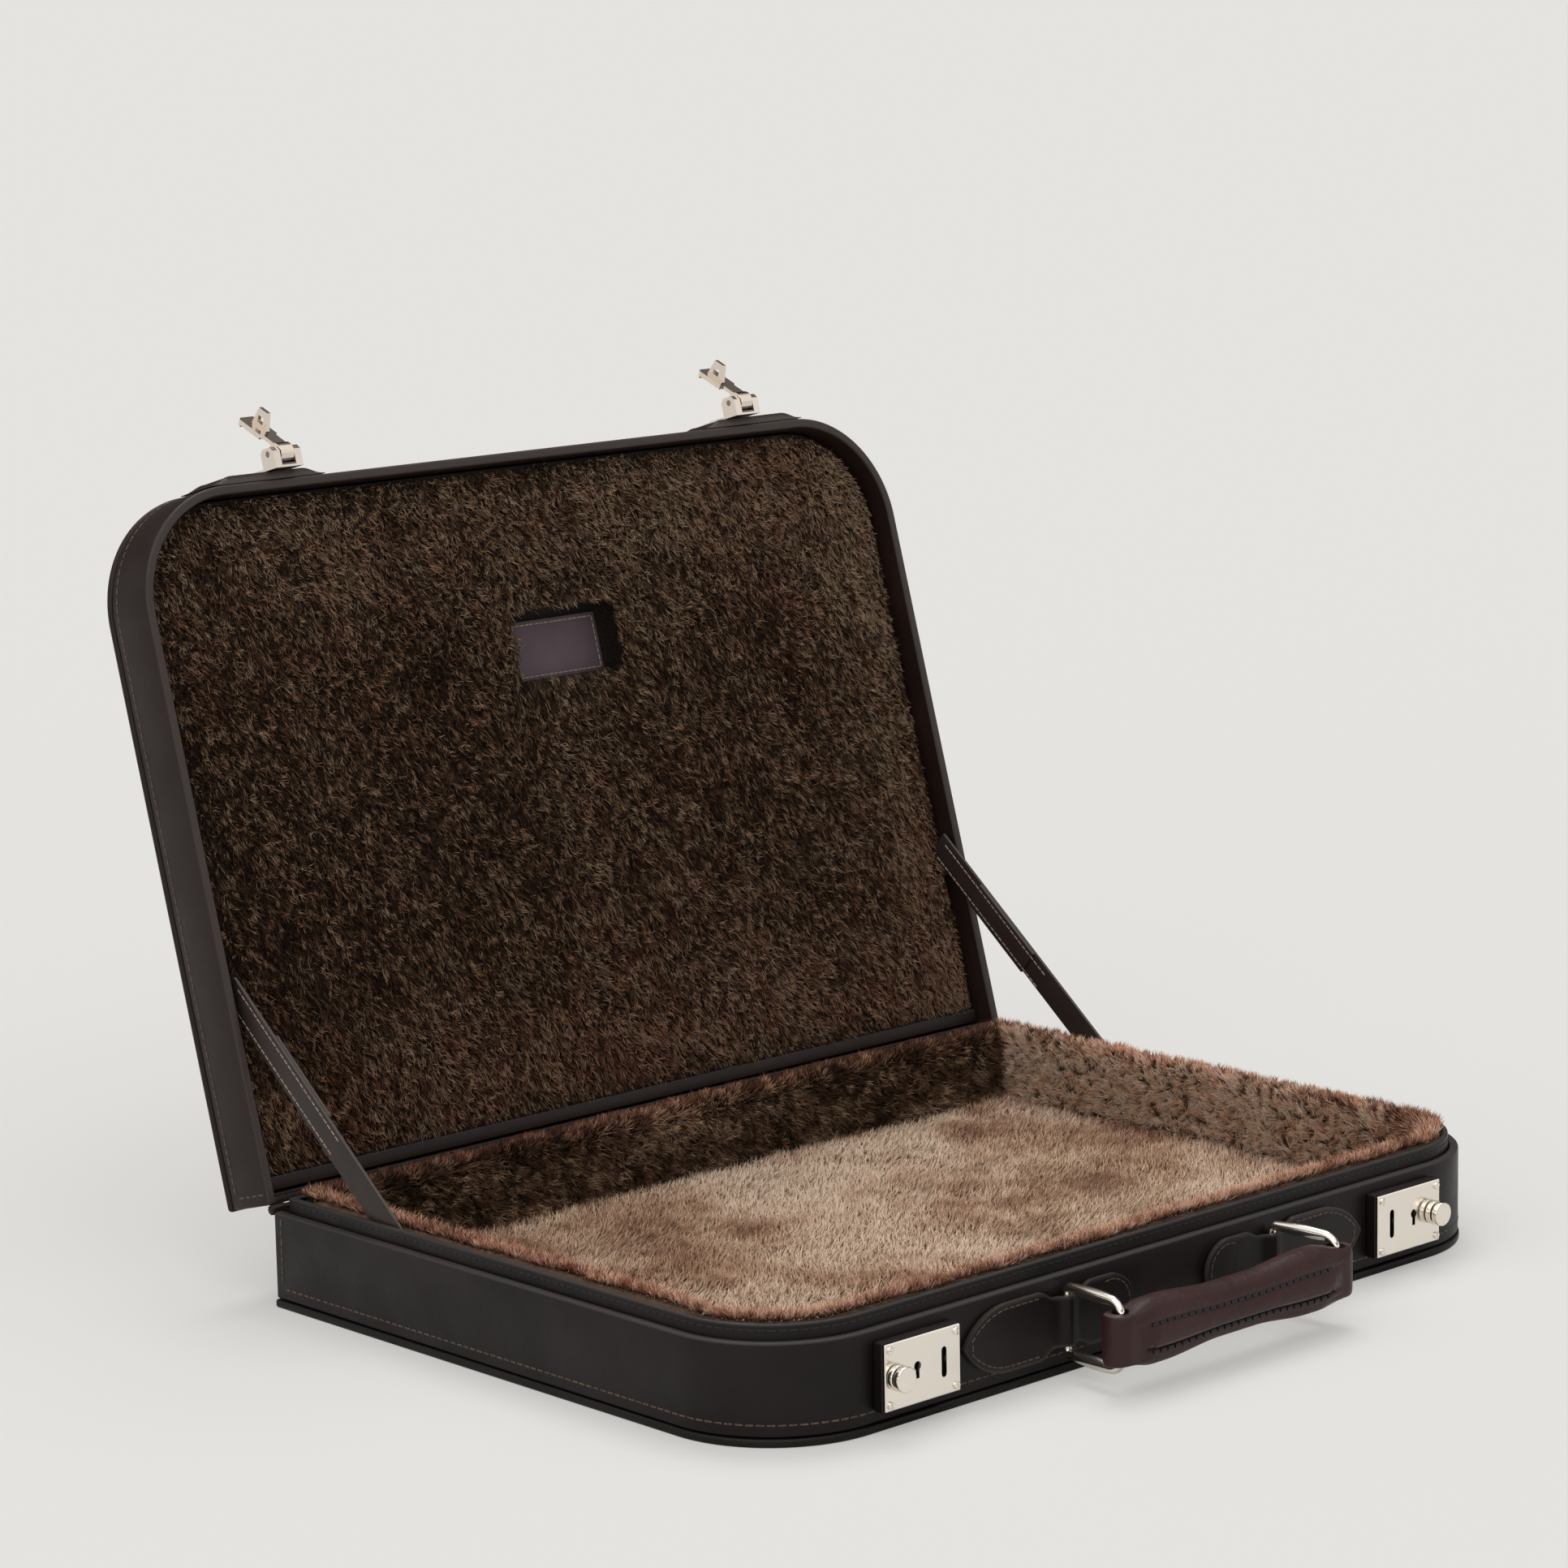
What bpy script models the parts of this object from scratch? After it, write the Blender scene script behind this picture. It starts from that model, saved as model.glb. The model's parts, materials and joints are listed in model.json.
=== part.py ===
"""A rigid leather laptop case, lined with fur, standing open on its base.

Metres, +Z up. +X is to the right seen from the front, -Y is the front with the locks
and the handle, +Y is the hinge side. The origin is the middle of the bottom.
Every piece of the lid is modelled with the lid shut, then swung open with its empty.
"""
import math

import bmesh
import bpy
from mathutils import Matrix, Vector

# Case
CASE_WIDTH = 0.420
CASE_DEPTH = 0.2905
BASE_HEIGHT = 0.0395
LID_HEIGHT = 0.029
CORNER_RADIUS = 0.0496
WALL = 0.004
WALL_EDGE = 0.0007
PANEL = 0.0034
PANEL_OVERHANG = 0.0005
PANEL_EDGE = 0.0011
LID_PANEL_EDGE = 0.0016
LIP = 0.0026
LIP_RISE = 0.0068
FIT_GAP = 0.0003
PARTING_GAP = 0.0004
LID_OPEN_DEG = 105.6
OVERRUN = 0.001

# Fur lining
FLOOR_FUR = 0.0133
WALL_FUR = 0.0085
WALL_FUR_DROP = 0.0006
FUR_EDGE = 0.002
LID_FUR_RECESS = 0.0095
STAY_ROOM = 0.0024

# Label window in the lid's fur
WINDOW_WIDTH = 0.058
WINDOW_HEIGHT = 0.033
WINDOW_DEPTH = 0.0075
WINDOW_X = 0.0105
WINDOW_REACH = 0.2055
LABEL_WIDTH = 0.050
LABEL_HEIGHT = 0.0262
LABEL_THICK = 0.0016
LABEL_X = 0.0075

# Hinge
HINGE_OFFSET = 0.002
BARREL_RADIUS = 0.0017
PIN_RADIUS = 0.0007
PIN_CLEARANCE = 0.0002
LEAF = 0.0008
LEAF_MARGIN = 0.003
KNUCKLE_COUNT = 11
KNUCKLE_GAP = 0.0004
TONGUE_OVERLAP = 0.0006
PIN_RECESS = 0.001

# Stay straps
STAY_WIDTH = 0.0125
STAY_THICK = 0.0014
STAY_BASE_Y = 0.0560
STAY_BASE_Z = 0.0230
STAY_LID_REACH = 0.089
STAY_LID_DEPTH = 0.0078
STAY_LAP_START_SHARE = 0.52
STAY_LAP_END_SHARE = 0.97

# Locks
LOCK_SIDE_INSET = 0.0712
LOCK_DROP = 0.0176
LOCK_WIDTH = 0.0388
LOCK_HEIGHT = 0.0256
LOCK_BOX = 0.005
LOCK_BOX_MARGIN = 0.0004
LOCK_BOX_RIM = 0.0015
LOCK_BOX_BAND = 0.0052
LOCK_BOX_FLOOR = 0.0009
LOCK_PLATE = 0.001
LOCK_PLATE_EDGE = 0.0004
SLOT_OFFSET = 0.0108
SLOT_LENGTH = 0.0118
SLOT_WIDTH = 0.0026
KEYHOLE_OFFSET = 0.0029
KEYHOLE_RADIUS = 0.0018
KEYHOLE_LENGTH = 0.0066
KEYHOLE_SLIT = 0.0018
SCREW_INSET = 0.0024
SCREW_HEAD = 0.0015
SCREW_RISE = 0.0006
SCREW_SHANK = 0.0007
SCREW_DEPTH = 0.0034
SCREW_SLIT = 0.0005
SCREW_CLEARANCE = 0.0002
SCREW_TOP_SHARE = 0.8

# Push knobs, bolts and springs
KNOB_OFFSET = 0.0143
KNOB_RADIUS = 0.0049
KNOB_HEAD = 0.0026
KNOB_EDGE = 0.0004
KNOB_TRAVEL_GAP = 0.0009
KNOB_TRAVEL = 0.0008
COLLAR_LENGTH = 0.0025
SHAFT_RADIUS = 0.0022
SHAFT_CLEARANCE = 0.0004
CAM_RADIUS = 0.0032
TAIL_RADIUS = 0.0010
BOLT_THICK = 0.001
BOLT_TRAVEL = 0.0016
BOLT_NOSE = 0.0022
BOLT_NOSE_REACH = 0.0023
BOLT_FRAME = 0.001
BOLT_WINDOW_MARGIN = 0.0004
SPRING_RADIUS = 0.0018
SPRING_WIRE = 0.00022
SPRING_TURNS = 2.5

# Handle tabs
TAB_LOCK_GAP = 0.0058
TAB_END_X = 0.0212
TAB_BELLY_REACH = 0.0232
TAB_HALF = 0.0134
TAB_END_HALF = 0.0127
TAB_NECK_HALF = 0.0098
TAB_NECK_REACH = 0.0062
TAB_SHOULDER_SHARE = 0.99
TAB_THICK = 0.0022
TAB_EDGE = 0.0006
TUNNEL_LEATHER = 0.0011
TUNNEL_BACK = 0.0005

# Rings and grip
RING_ROOT_X = 0.0585
RING_SPLAY = 0.003
RING_REACH = 0.0306
RING_HALF = 0.0132
RING_WIRE = 0.0017
RING_SWELL_SHARE = 1.55
RING_CORNER = 0.0055
RING_ROOT_CORNER = 0.0022
RING_BAR_SHARES = (0.2, 0.4, 0.6, 0.8)
RING_CLEARANCE = 0.0003
GRIP_LOOP_RADIUS = 0.0068
GRIP_LOOP_HALF = 0.0100
GRIP_BORE = 0.0047
GRIP_BORE_SHIFT = 0.0007
GRIP_HALF_DEPTH = 0.0080
GRIP_SHOULDER_HALF = 0.0130
GRIP_WAIST_HALF = 0.0106
GRIP_STATION_SHARES = (0.0, 0.25, 0.48, 0.66, 0.80, 0.90, 1.0)
GRIP_BODY_SHARES = (0.0, 0.22, 0.80, 1.0, 0.62, 0.15, 0.0)
GRIP_STATION_TOLERANCE_SHARE = 0.001
GRIP_SOFT_SHARE = 1.04
GRIP_SWING_DEG = 55.0

# Hasps
HASP_LOCK_OFFSET = 0.0098
PAD_LOCK_OFFSET = 0.0023
HASP_OPEN_DEG = 142.0
PAD_WIDTH = 0.058
PAD_THICK = 0.0034
PAD_LENGTH = 0.0240
PAD_EDGE = 0.0022
PAD_EDGE_LIFT = 0.0004
HASP_PLATE = 0.001
HASP_PLATE_WIDTH = 0.0142
HASP_TONGUE_WIDTH = 0.0085
HASP_TONGUE_LENGTH = 0.0075
HASP_PLATE_REACH = 0.0150
CHEEK_THICK = 0.0035
CHEEK_HEIGHT = 0.0080
CHEEK_FRONT = 0.0040
CHEEK_BACK = 0.0048
CHEEK_CHAMFER = 0.0018
HASP_PIVOT_DROP = 0.0005
HASP_PIVOT_HEIGHT = 0.0054
HASP_KNUCKLE = 0.0045
HASP_PIN = 0.0011
HASP_PIN_CLEARANCE = 0.0002
HASP_SIDE_GAP = 0.0003
FLAP_THICK = 0.0016
FLAP_LIFT = 0.0004
FLAP_TIP = 0.0265
FLAP_ARM_WIDTH = 0.0062
FLAP_HEAD_START = 0.0105
FLAP_HEAD_WIDTH = 0.0088
FLAP_EDGE = 0.0004
FLAP_FLANGE = 0.0022
FLAP_FLANGE_THICK = 0.0011
STAPLE_THICK = 0.0018
STAPLE_ROOT_NEAR = 0.0124
STAPLE_ROOT_FAR = 0.0224
STAPLE_TIP_NEAR = 0.0142
STAPLE_TIP_FAR = 0.0200
STAPLE_LENGTH = 0.0076
STAPLE_HOLE_HALF = 0.0018
STAPLE_HOLE_NEAR_SHARE = 0.18
STAPLE_HOLE_FAR_SHARE = 0.58
LEAF_SPRING = 0.0004
HASP_SCREW_HEAD = 0.0013

ROUND_SIDES = 24
SMALL_SIDES = 12
CURVE_WELD_SHARE = 0.02

# Places that several pieces share
LOCK_X = CASE_WIDTH / 2 - LOCK_SIDE_INSET
LOCK_Z = BASE_HEIGHT - LOCK_DROP
HASP_X = LOCK_X - HASP_LOCK_OFFSET
PAD_X = LOCK_X - PAD_LOCK_OFFSET
TAB_TIP_X = LOCK_X - LOCK_WIDTH / 2 - LOCK_BOX_MARGIN - TAB_LOCK_GAP
TAB_BELLY_X = TAB_TIP_X - TAB_BELLY_REACH
FRONT_Y = -CASE_DEPTH / 2
LIP_TOP = BASE_HEIGHT + LIP_RISE
FLOOR_Z = PANEL + FIT_GAP
LIP_INSET = WALL + FIT_GAP
LINING_INSET = LIP_INSET + LIP + FIT_GAP
SIDE_FUR_INSET = LINING_INSET + STAY_ROOM
LID_RIM_Z = BASE_HEIGHT + PARTING_GAP
LID_TOP_Z = LID_RIM_Z + LID_HEIGHT
HINGE = Vector((0.0, CASE_DEPTH / 2 + HINGE_OFFSET, BASE_HEIGHT + PARTING_GAP / 2))
BOX_FRONT_Y = FRONT_Y - LOCK_BOX
PLATE_BACK_Y = BOX_FRONT_Y - FIT_GAP
PLATE_FRONT_Y = PLATE_BACK_Y - LOCK_PLATE
PAD_FRONT_Y = FRONT_Y - FIT_GAP - PAD_THICK
HASP_PLATE_Y = PAD_FRONT_Y - FIT_GAP - HASP_PLATE
HASP_PIVOT_Y = HASP_PLATE_Y - HASP_PIVOT_HEIGHT
HASP_PIVOT_Z = LID_RIM_Z - HASP_PIVOT_DROP
FLAP_FACE_Y = PLATE_FRONT_Y - FLAP_LIFT
TUNNEL_RADIUS = RING_WIRE + RING_CLEARANCE + TUNNEL_LEATHER
RING_AXIS_Y = FRONT_Y - FIT_GAP - TUNNEL_BACK - RING_CLEARANCE - RING_WIRE
GRIP_Y = RING_AXIS_Y - RING_REACH


def start_scene():
    """Clears the objects and makes the two collections."""
    for item in list(bpy.data.objects):
        bpy.data.objects.remove(item)
    parts = bpy.data.collections.new("laptop_case")
    cutters = bpy.data.collections.new("cutters")
    bpy.context.scene.collection.children.link(parts)
    bpy.context.scene.collection.children.link(cutters)
    return parts, cutters


PARTS, CUTTERS = start_scene()


def make_material(name, colour, roughness, metallic=0.0):
    """A Principled material with one colour."""
    made = bpy.data.materials.new(name)
    made.use_nodes = True
    shader = made.node_tree.nodes["Principled BSDF"]
    shader.inputs["Base Color"].default_value = (*colour, 1.0)
    shader.inputs["Roughness"].default_value = roughness
    shader.inputs["Metallic"].default_value = metallic
    made.diffuse_color = (*colour, 1.0)
    return made


LEATHER = make_material("black_brown_leather", (0.021, 0.017, 0.016), 0.45)
GRIP_LEATHER = make_material("aubergine_leather", (0.038, 0.022, 0.021), 0.42)
LABEL_LEATHER = make_material("label_leather", (0.045, 0.036, 0.038), 0.5)
FLOOR_FUR_MATERIAL = make_material("taupe_fur", (0.29, 0.19, 0.13), 0.95)
WALL_FUR_MATERIAL = make_material("brown_fur", (0.12, 0.065, 0.04), 0.95)
LID_FUR_MATERIAL = make_material("dark_fur", (0.045, 0.027, 0.018), 0.95)
NICKEL = make_material("nickel", (0.72, 0.68, 0.62), 0.2, 1.0)
STEEL = make_material("steel", (0.45, 0.44, 0.42), 0.35, 1.0)


def mesh_from(bm, name):
    """A mesh from a bmesh, with its normals facing out."""
    bmesh.ops.recalc_face_normals(bm, faces=bm.faces)
    mesh = bpy.data.meshes.new(name)
    bm.to_mesh(mesh)
    bm.free()
    return mesh


def box_mesh(low, high):
    """A box between two corners."""
    bm = bmesh.new()
    bmesh.ops.create_cube(bm, size=1.0)
    low = Vector(low)
    high = Vector(high)
    size = high - low
    move = Matrix.Translation((low + high) / 2) @ Matrix.Diagonal((*size, 1.0))
    bmesh.ops.transform(bm, matrix=move, verts=bm.verts)
    return mesh_from(bm, "box")


def rod_mesh(start, end, radius, end_radius=None, sides=ROUND_SIDES):
    """A cylinder or cone between two points."""
    start = Vector(start)
    end = Vector(end)
    along = end - start
    turn = along.to_track_quat("Z", "Y").to_matrix().to_4x4()
    move = Matrix.Translation((start + end) / 2) @ turn
    bm = bmesh.new()
    bmesh.ops.create_cone(
        bm,
        cap_ends=True,
        segments=sides,
        radius1=radius,
        radius2=radius if end_radius is None else end_radius,
        depth=along.length,
        matrix=move,
    )
    return mesh_from(bm, "rod")


def joined_mesh(meshes):
    """Several meshes in one, still as separate bodies."""
    bm = bmesh.new()
    for mesh in meshes:
        bm.from_mesh(mesh)
    return mesh_from(bm, "joined")


def curve_mesh(curve):
    """The closed mesh of a curve, with its caps welded."""
    holder = bpy.data.objects.new("curve", curve)
    bpy.context.scene.collection.objects.link(holder)
    bpy.context.view_layer.update()
    evaluated = holder.evaluated_get(bpy.context.evaluated_depsgraph_get())
    mesh = bpy.data.meshes.new_from_object(evaluated)
    bpy.data.objects.remove(holder)
    bm = bmesh.new()
    bm.from_mesh(mesh)
    bmesh.ops.remove_doubles(bm, verts=bm.verts, dist=FIT_GAP * CURVE_WELD_SHARE)
    return mesh_from(bm, "from_curve")


def outline_mesh(outlines, low, high):
    """Flat outlines in X and Y, filled and extruded between two heights."""
    curve = bpy.data.curves.new("outline", "CURVE")
    curve.dimensions = "2D"
    curve.fill_mode = "BOTH"
    curve.extrude = (high - low) / 2
    for points in outlines:
        spline = curve.splines.new("POLY")
        spline.points.add(len(points) - 1)
        for point, (x, y) in zip(spline.points, points):
            point.co = (x, y, 0.0, 1.0)
        spline.use_cyclic_u = True
    mesh = curve_mesh(curve)
    mesh.transform(Matrix.Translation((0.0, 0.0, (low + high) / 2)))
    return mesh


def front_outline_mesh(outlines, back_y, front_y):
    """Flat outlines in X and Z, extruded along Y."""
    mesh = outline_mesh(outlines, -back_y, -front_y)
    mesh.transform(Matrix.Rotation(math.radians(90.0), 4, "X"))
    return mesh


def side_outline_mesh(outline, low_x, high_x):
    """A flat outline in Y and Z, extruded along X."""
    mesh = outline_mesh([outline], low_x, high_x)
    mesh.transform(Matrix(((0, 0, 1, 0), (1, 0, 0, 0), (0, 1, 0, 0), (0, 0, 0, 1))))
    return mesh


def add_part(name, mesh, material, smooth=False):
    """A named piece of the case."""
    item = bpy.data.objects.new(name, mesh)
    mesh.materials.append(material)
    if smooth:
        mesh.shade_smooth()
        mesh.set_sharp_from_angle(angle=math.radians(35.0))
    PARTS.objects.link(item)
    return item


def add_cutter(name, mesh):
    """A piece that only cuts or joins."""
    item = bpy.data.objects.new(name, mesh)
    item.hide_render = True
    item.display_type = "WIRE"
    CUTTERS.objects.link(item)
    return item


def combine(item, mesh, operation):
    """Cuts a mesh out of a piece, or joins it on."""
    tool = add_cutter(f"{item.name}_{operation.lower()}", mesh)
    modifier = item.modifiers.new(operation.lower(), "BOOLEAN")
    modifier.operation = operation
    modifier.object = tool
    return tool


def round_edges(item, width, segments=2, degrees=40.0):
    """Rounds the edges that turn more than an angle."""
    modifier = item.modifiers.new("edges", "BEVEL")
    modifier.width = width
    modifier.segments = segments
    modifier.limit_method = "ANGLE"
    modifier.angle_limit = math.radians(degrees)


def add_pivot(name, place, parent=None, parent_place=None):
    """An empty on a joint's axis."""
    pivot = bpy.data.objects.new(name, None)
    PARTS.objects.link(pivot)
    pivot.location = place
    if parent:
        pivot.parent = parent
        pivot.location = place - parent_place
    return pivot


def hang(items, pivot, place):
    """Makes pieces modelled in place follow a pivot."""
    for item in items:
        item.parent = pivot
        item.location = -place


def case_outline(inset, corner_steps=9):
    """The case seen from above, square behind and round in front, moved in by an inset."""
    half_x = CASE_WIDTH / 2 - inset
    half_y = CASE_DEPTH / 2 - inset
    radius = CORNER_RADIUS - inset
    points = [(-half_x, half_y)]
    for centre_x, first in ((radius - half_x, 180.0), (half_x - radius, 270.0)):
        for step in range(corner_steps + 1):
            angle = math.radians(first + 90.0 * step / corner_steps)
            x = centre_x + radius * math.cos(angle)
            y = radius - half_y + radius * math.sin(angle)
            points.append((x, y))
    points.append((half_x, half_y))
    return points


def make_ring_wall(name, inset, thickness, low, high, material):
    """A closed wall that follows the case's outline."""
    bm = bmesh.new()
    corners = [bm.verts.new((x, y, low)) for x, y in case_outline(inset)]
    edges = [bm.edges.new(pair) for pair in zip(corners, corners[1:] + corners[:1])]
    raised = bmesh.ops.extrude_edge_only(bm, edges=edges)
    lifted = [part for part in raised["geom"] if isinstance(part, bmesh.types.BMVert)]
    bmesh.ops.translate(bm, vec=(0.0, 0.0, high - low), verts=lifted)
    item = add_part(name, mesh_from(bm, name), material, smooth=True)
    solid = item.modifiers.new("thickness", "SOLIDIFY")
    solid.thickness = thickness
    solid.offset = solid_side(item.data)
    solid.use_even_offset = True
    solid.use_rim = True
    return item


def solid_side(mesh):
    """The Solidify offset that grows a wall inwards, whichever way its faces point."""
    face = mesh.polygons[0]
    outwards = face.normal.x * face.center.x + face.normal.y * face.center.y
    return -1.0 if outwards > 0.0 else 1.0


def make_base_shell():
    """Bottom board, outer wall and the inner frame that stands proud of it."""
    bottom_mesh = outline_mesh([case_outline(-PANEL_OVERHANG)], 0.0, PANEL)
    bottom = add_part("base_bottom", bottom_mesh, LEATHER, smooth=True)
    round_edges(bottom, PANEL_EDGE)

    wall = make_ring_wall("base_wall", 0.0, WALL, FLOOR_Z, BASE_HEIGHT, LEATHER)
    round_edges(wall, WALL_EDGE, 1)
    leaf_seat = box_mesh(
        (-CASE_WIDTH / 2 + LEAF_MARGIN, -FRONT_Y - WALL - FIT_GAP, BASE_HEIGHT - LEAF - FIT_GAP),
        (CASE_WIDTH / 2 - LEAF_MARGIN, -FRONT_Y + OVERRUN, BASE_HEIGHT + OVERRUN),
    )
    pockets = [leaf_seat]
    for side in (-1.0, 1.0):
        x = side * (LOCK_X - SLOT_OFFSET)
        half = SLOT_WIDTH / 2 + BOLT_WINDOW_MARGIN
        low = (x - half, FRONT_Y - OVERRUN, LOCK_Z - SLOT_LENGTH / 2)
        high = (x + half, FRONT_Y + WALL / 2, LOCK_Z + SLOT_LENGTH / 2)
        pockets.append(box_mesh(low, high))
    combine(wall, joined_mesh(pockets), "DIFFERENCE")

    lip = make_ring_wall("base_lip", LIP_INSET, LIP, FLOOR_Z, LIP_TOP, LEATHER)
    round_edges(lip, WALL_EDGE, 1)


def make_base_fur():
    """Floor pad and four wall pads, split where the fur has its seams."""
    floor_mesh = outline_mesh([case_outline(LINING_INSET)], FLOOR_Z, FLOOR_Z + FLOOR_FUR)
    floor = add_part("base_fur_floor", floor_mesh, FLOOR_FUR_MATERIAL)
    round_edges(floor, FUR_EDGE, 1, 60.0)
    low = FLOOR_Z + FLOOR_FUR + FIT_GAP
    high = LIP_TOP - WALL_FUR_DROP
    rear_y = -FRONT_Y - LINING_INSET
    side_x = CASE_WIDTH / 2 - SIDE_FUR_INSET
    turn_y = FRONT_Y + CORNER_RADIUS

    rear_mesh = box_mesh((-side_x, rear_y - WALL_FUR, low), (side_x, rear_y, high))
    rear = add_part("base_fur_rear", rear_mesh, WALL_FUR_MATERIAL)
    round_edges(rear, FUR_EDGE, 1)

    for side, name in ((-1.0, "left"), (1.0, "right")):
        outer = side * side_x
        inner = side * (side_x - WALL_FUR)
        near = (min(outer, inner), turn_y + FIT_GAP, low)
        far = (max(outer, inner), rear_y - WALL_FUR - FIT_GAP, high)
        wall = add_part(f"base_fur_{name}", box_mesh(near, far), WALL_FUR_MATERIAL)
        round_edges(wall, FUR_EDGE, 1)

    outer_line = [point for point in case_outline(LINING_INSET) if point[1] < turn_y - FIT_GAP]
    inner_line = [point for point in case_outline(LINING_INSET + WALL_FUR) if point[1] < turn_y - FIT_GAP]
    front_mesh = outline_mesh([outer_line + inner_line[::-1]], low, high)
    front = add_part("base_fur_front", front_mesh, WALL_FUR_MATERIAL)
    round_edges(front, FUR_EDGE, 1, 60.0)


def make_lid():
    """The lid's wall, outer board, fur pad and label, shut."""
    wall_top = LID_TOP_Z - PANEL - FIT_GAP
    wall = make_ring_wall("lid_wall", 0.0, WALL, LID_RIM_Z, wall_top, LEATHER)
    round_edges(wall, WALL_EDGE, 1)
    seat = box_mesh(
        (-CASE_WIDTH / 2 + LEAF_MARGIN, -FRONT_Y - WALL - FIT_GAP, LID_RIM_Z - OVERRUN),
        (CASE_WIDTH / 2 - LEAF_MARGIN, -FRONT_Y + OVERRUN, LID_RIM_Z + LEAF + FIT_GAP),
    )
    seat_tool = combine(wall, seat, "DIFFERENCE")

    panel_mesh = outline_mesh([case_outline(-PANEL_OVERHANG)], LID_TOP_Z - PANEL, LID_TOP_Z)
    panel = add_part("lid_panel", panel_mesh, LEATHER, smooth=True)
    round_edges(panel, LID_PANEL_EDGE)

    fur_low = LID_RIM_Z + LID_FUR_RECESS
    fur_mesh = outline_mesh([case_outline(LIP_INSET)], fur_low, wall_top)
    fur = add_part("lid_fur", fur_mesh, LID_FUR_MATERIAL)
    round_edges(fur, FUR_EDGE, 1, 60.0)
    window_y = -FRONT_Y - WINDOW_REACH
    window = box_mesh(
        (WINDOW_X - WINDOW_WIDTH / 2, window_y - WINDOW_HEIGHT / 2, fur_low - OVERRUN),
        (WINDOW_X + WINDOW_WIDTH / 2, window_y + WINDOW_HEIGHT / 2, fur_low + WINDOW_DEPTH),
    )
    pockets = [window]
    for side in (-1.0, 1.0):
        outer = side * (CASE_WIDTH / 2 - LIP_INSET)
        inner = side * (CASE_WIDTH / 2 - LINING_INSET - 2 * STAY_THICK - FIT_GAP)
        reach = -FRONT_Y - STAY_LID_REACH
        depth = fur_low + STAY_WIDTH / 2 + FIT_GAP
        low = (min(outer, inner), reach - STAY_WIDTH, fur_low - OVERRUN)
        high = (max(outer, inner), reach + STAY_WIDTH, depth)
        pockets.append(box_mesh(low, high))
    pocket_tool = combine(fur, joined_mesh(pockets), "DIFFERENCE")

    label_top = fur_low + WINDOW_DEPTH - FIT_GAP
    label_mesh = box_mesh(
        (LABEL_X - LABEL_WIDTH / 2, window_y - LABEL_HEIGHT / 2, label_top - LABEL_THICK),
        (LABEL_X + LABEL_WIDTH / 2, window_y + LABEL_HEIGHT / 2, label_top),
    )
    label = add_part("lid_label", label_mesh, LABEL_LEATHER)
    return [wall, seat_tool, panel, fur, pocket_tool, label]


def make_hinge():
    """A piano hinge whose leaves lie on the two rear rims."""
    length = CASE_WIDTH - 2 * (LEAF_MARGIN + FIT_GAP)
    pitch = length / KNUCKLE_COUNT
    start_x = -length / 2
    barrel_front_y = HINGE.y - BARREL_RADIUS - FIT_GAP
    hole = rod_mesh(
        (start_x - OVERRUN, HINGE.y, HINGE.z),
        (-start_x + OVERRUN, HINGE.y, HINGE.z),
        PIN_RADIUS + PIN_CLEARANCE,
        sides=SMALL_SIDES,
    )
    moving = []
    for name, first, low in (("base", 0, BASE_HEIGHT - LEAF), ("lid", 1, LID_RIM_Z)):
        plate_low = (start_x, -FRONT_Y - WALL + FIT_GAP, low)
        plate_high = (-start_x, barrel_front_y, low + LEAF)
        leaf = add_part(f"hinge_leaf_{name}", box_mesh(plate_low, plate_high), STEEL, smooth=True)
        tongues = []
        barrels = []
        for index in range(first, KNUCKLE_COUNT, 2):
            low_x = start_x + index * pitch + KNUCKLE_GAP / 2
            high_x = start_x + (index + 1) * pitch - KNUCKLE_GAP / 2
            tongue_low = (low_x, barrel_front_y - TONGUE_OVERLAP, low)
            tongues.append(box_mesh(tongue_low, (high_x, HINGE.y, low + LEAF)))
            centre_low = (low_x, HINGE.y, HINGE.z)
            centre_high = (high_x, HINGE.y, HINGE.z)
            barrels.append(rod_mesh(centre_low, centre_high, BARREL_RADIUS, sides=SMALL_SIDES))
        tools = [
            combine(leaf, joined_mesh(tongues), "UNION"),
            combine(leaf, joined_mesh(barrels), "UNION"),
            combine(leaf, hole.copy(), "DIFFERENCE"),
        ]
        if name == "lid":
            moving = [leaf, *tools]
    pin_mesh = rod_mesh(
        (start_x + PIN_RECESS, HINGE.y, HINGE.z),
        (-start_x - PIN_RECESS, HINGE.y, HINGE.z),
        PIN_RADIUS,
        sides=SMALL_SIDES,
    )
    add_part("hinge_pin", pin_mesh, STEEL, smooth=True)
    return moving


def lid_point(reach, depth):
    """The open lid's Y and Z at a reach from the rear edge and a depth behind the rim."""
    shut = Vector((0.0, -FRONT_Y - reach, LID_RIM_Z + depth))
    opened = Matrix.Rotation(math.radians(-LID_OPEN_DEG), 3, "X") @ (shut - HINGE)
    return opened + HINGE


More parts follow.
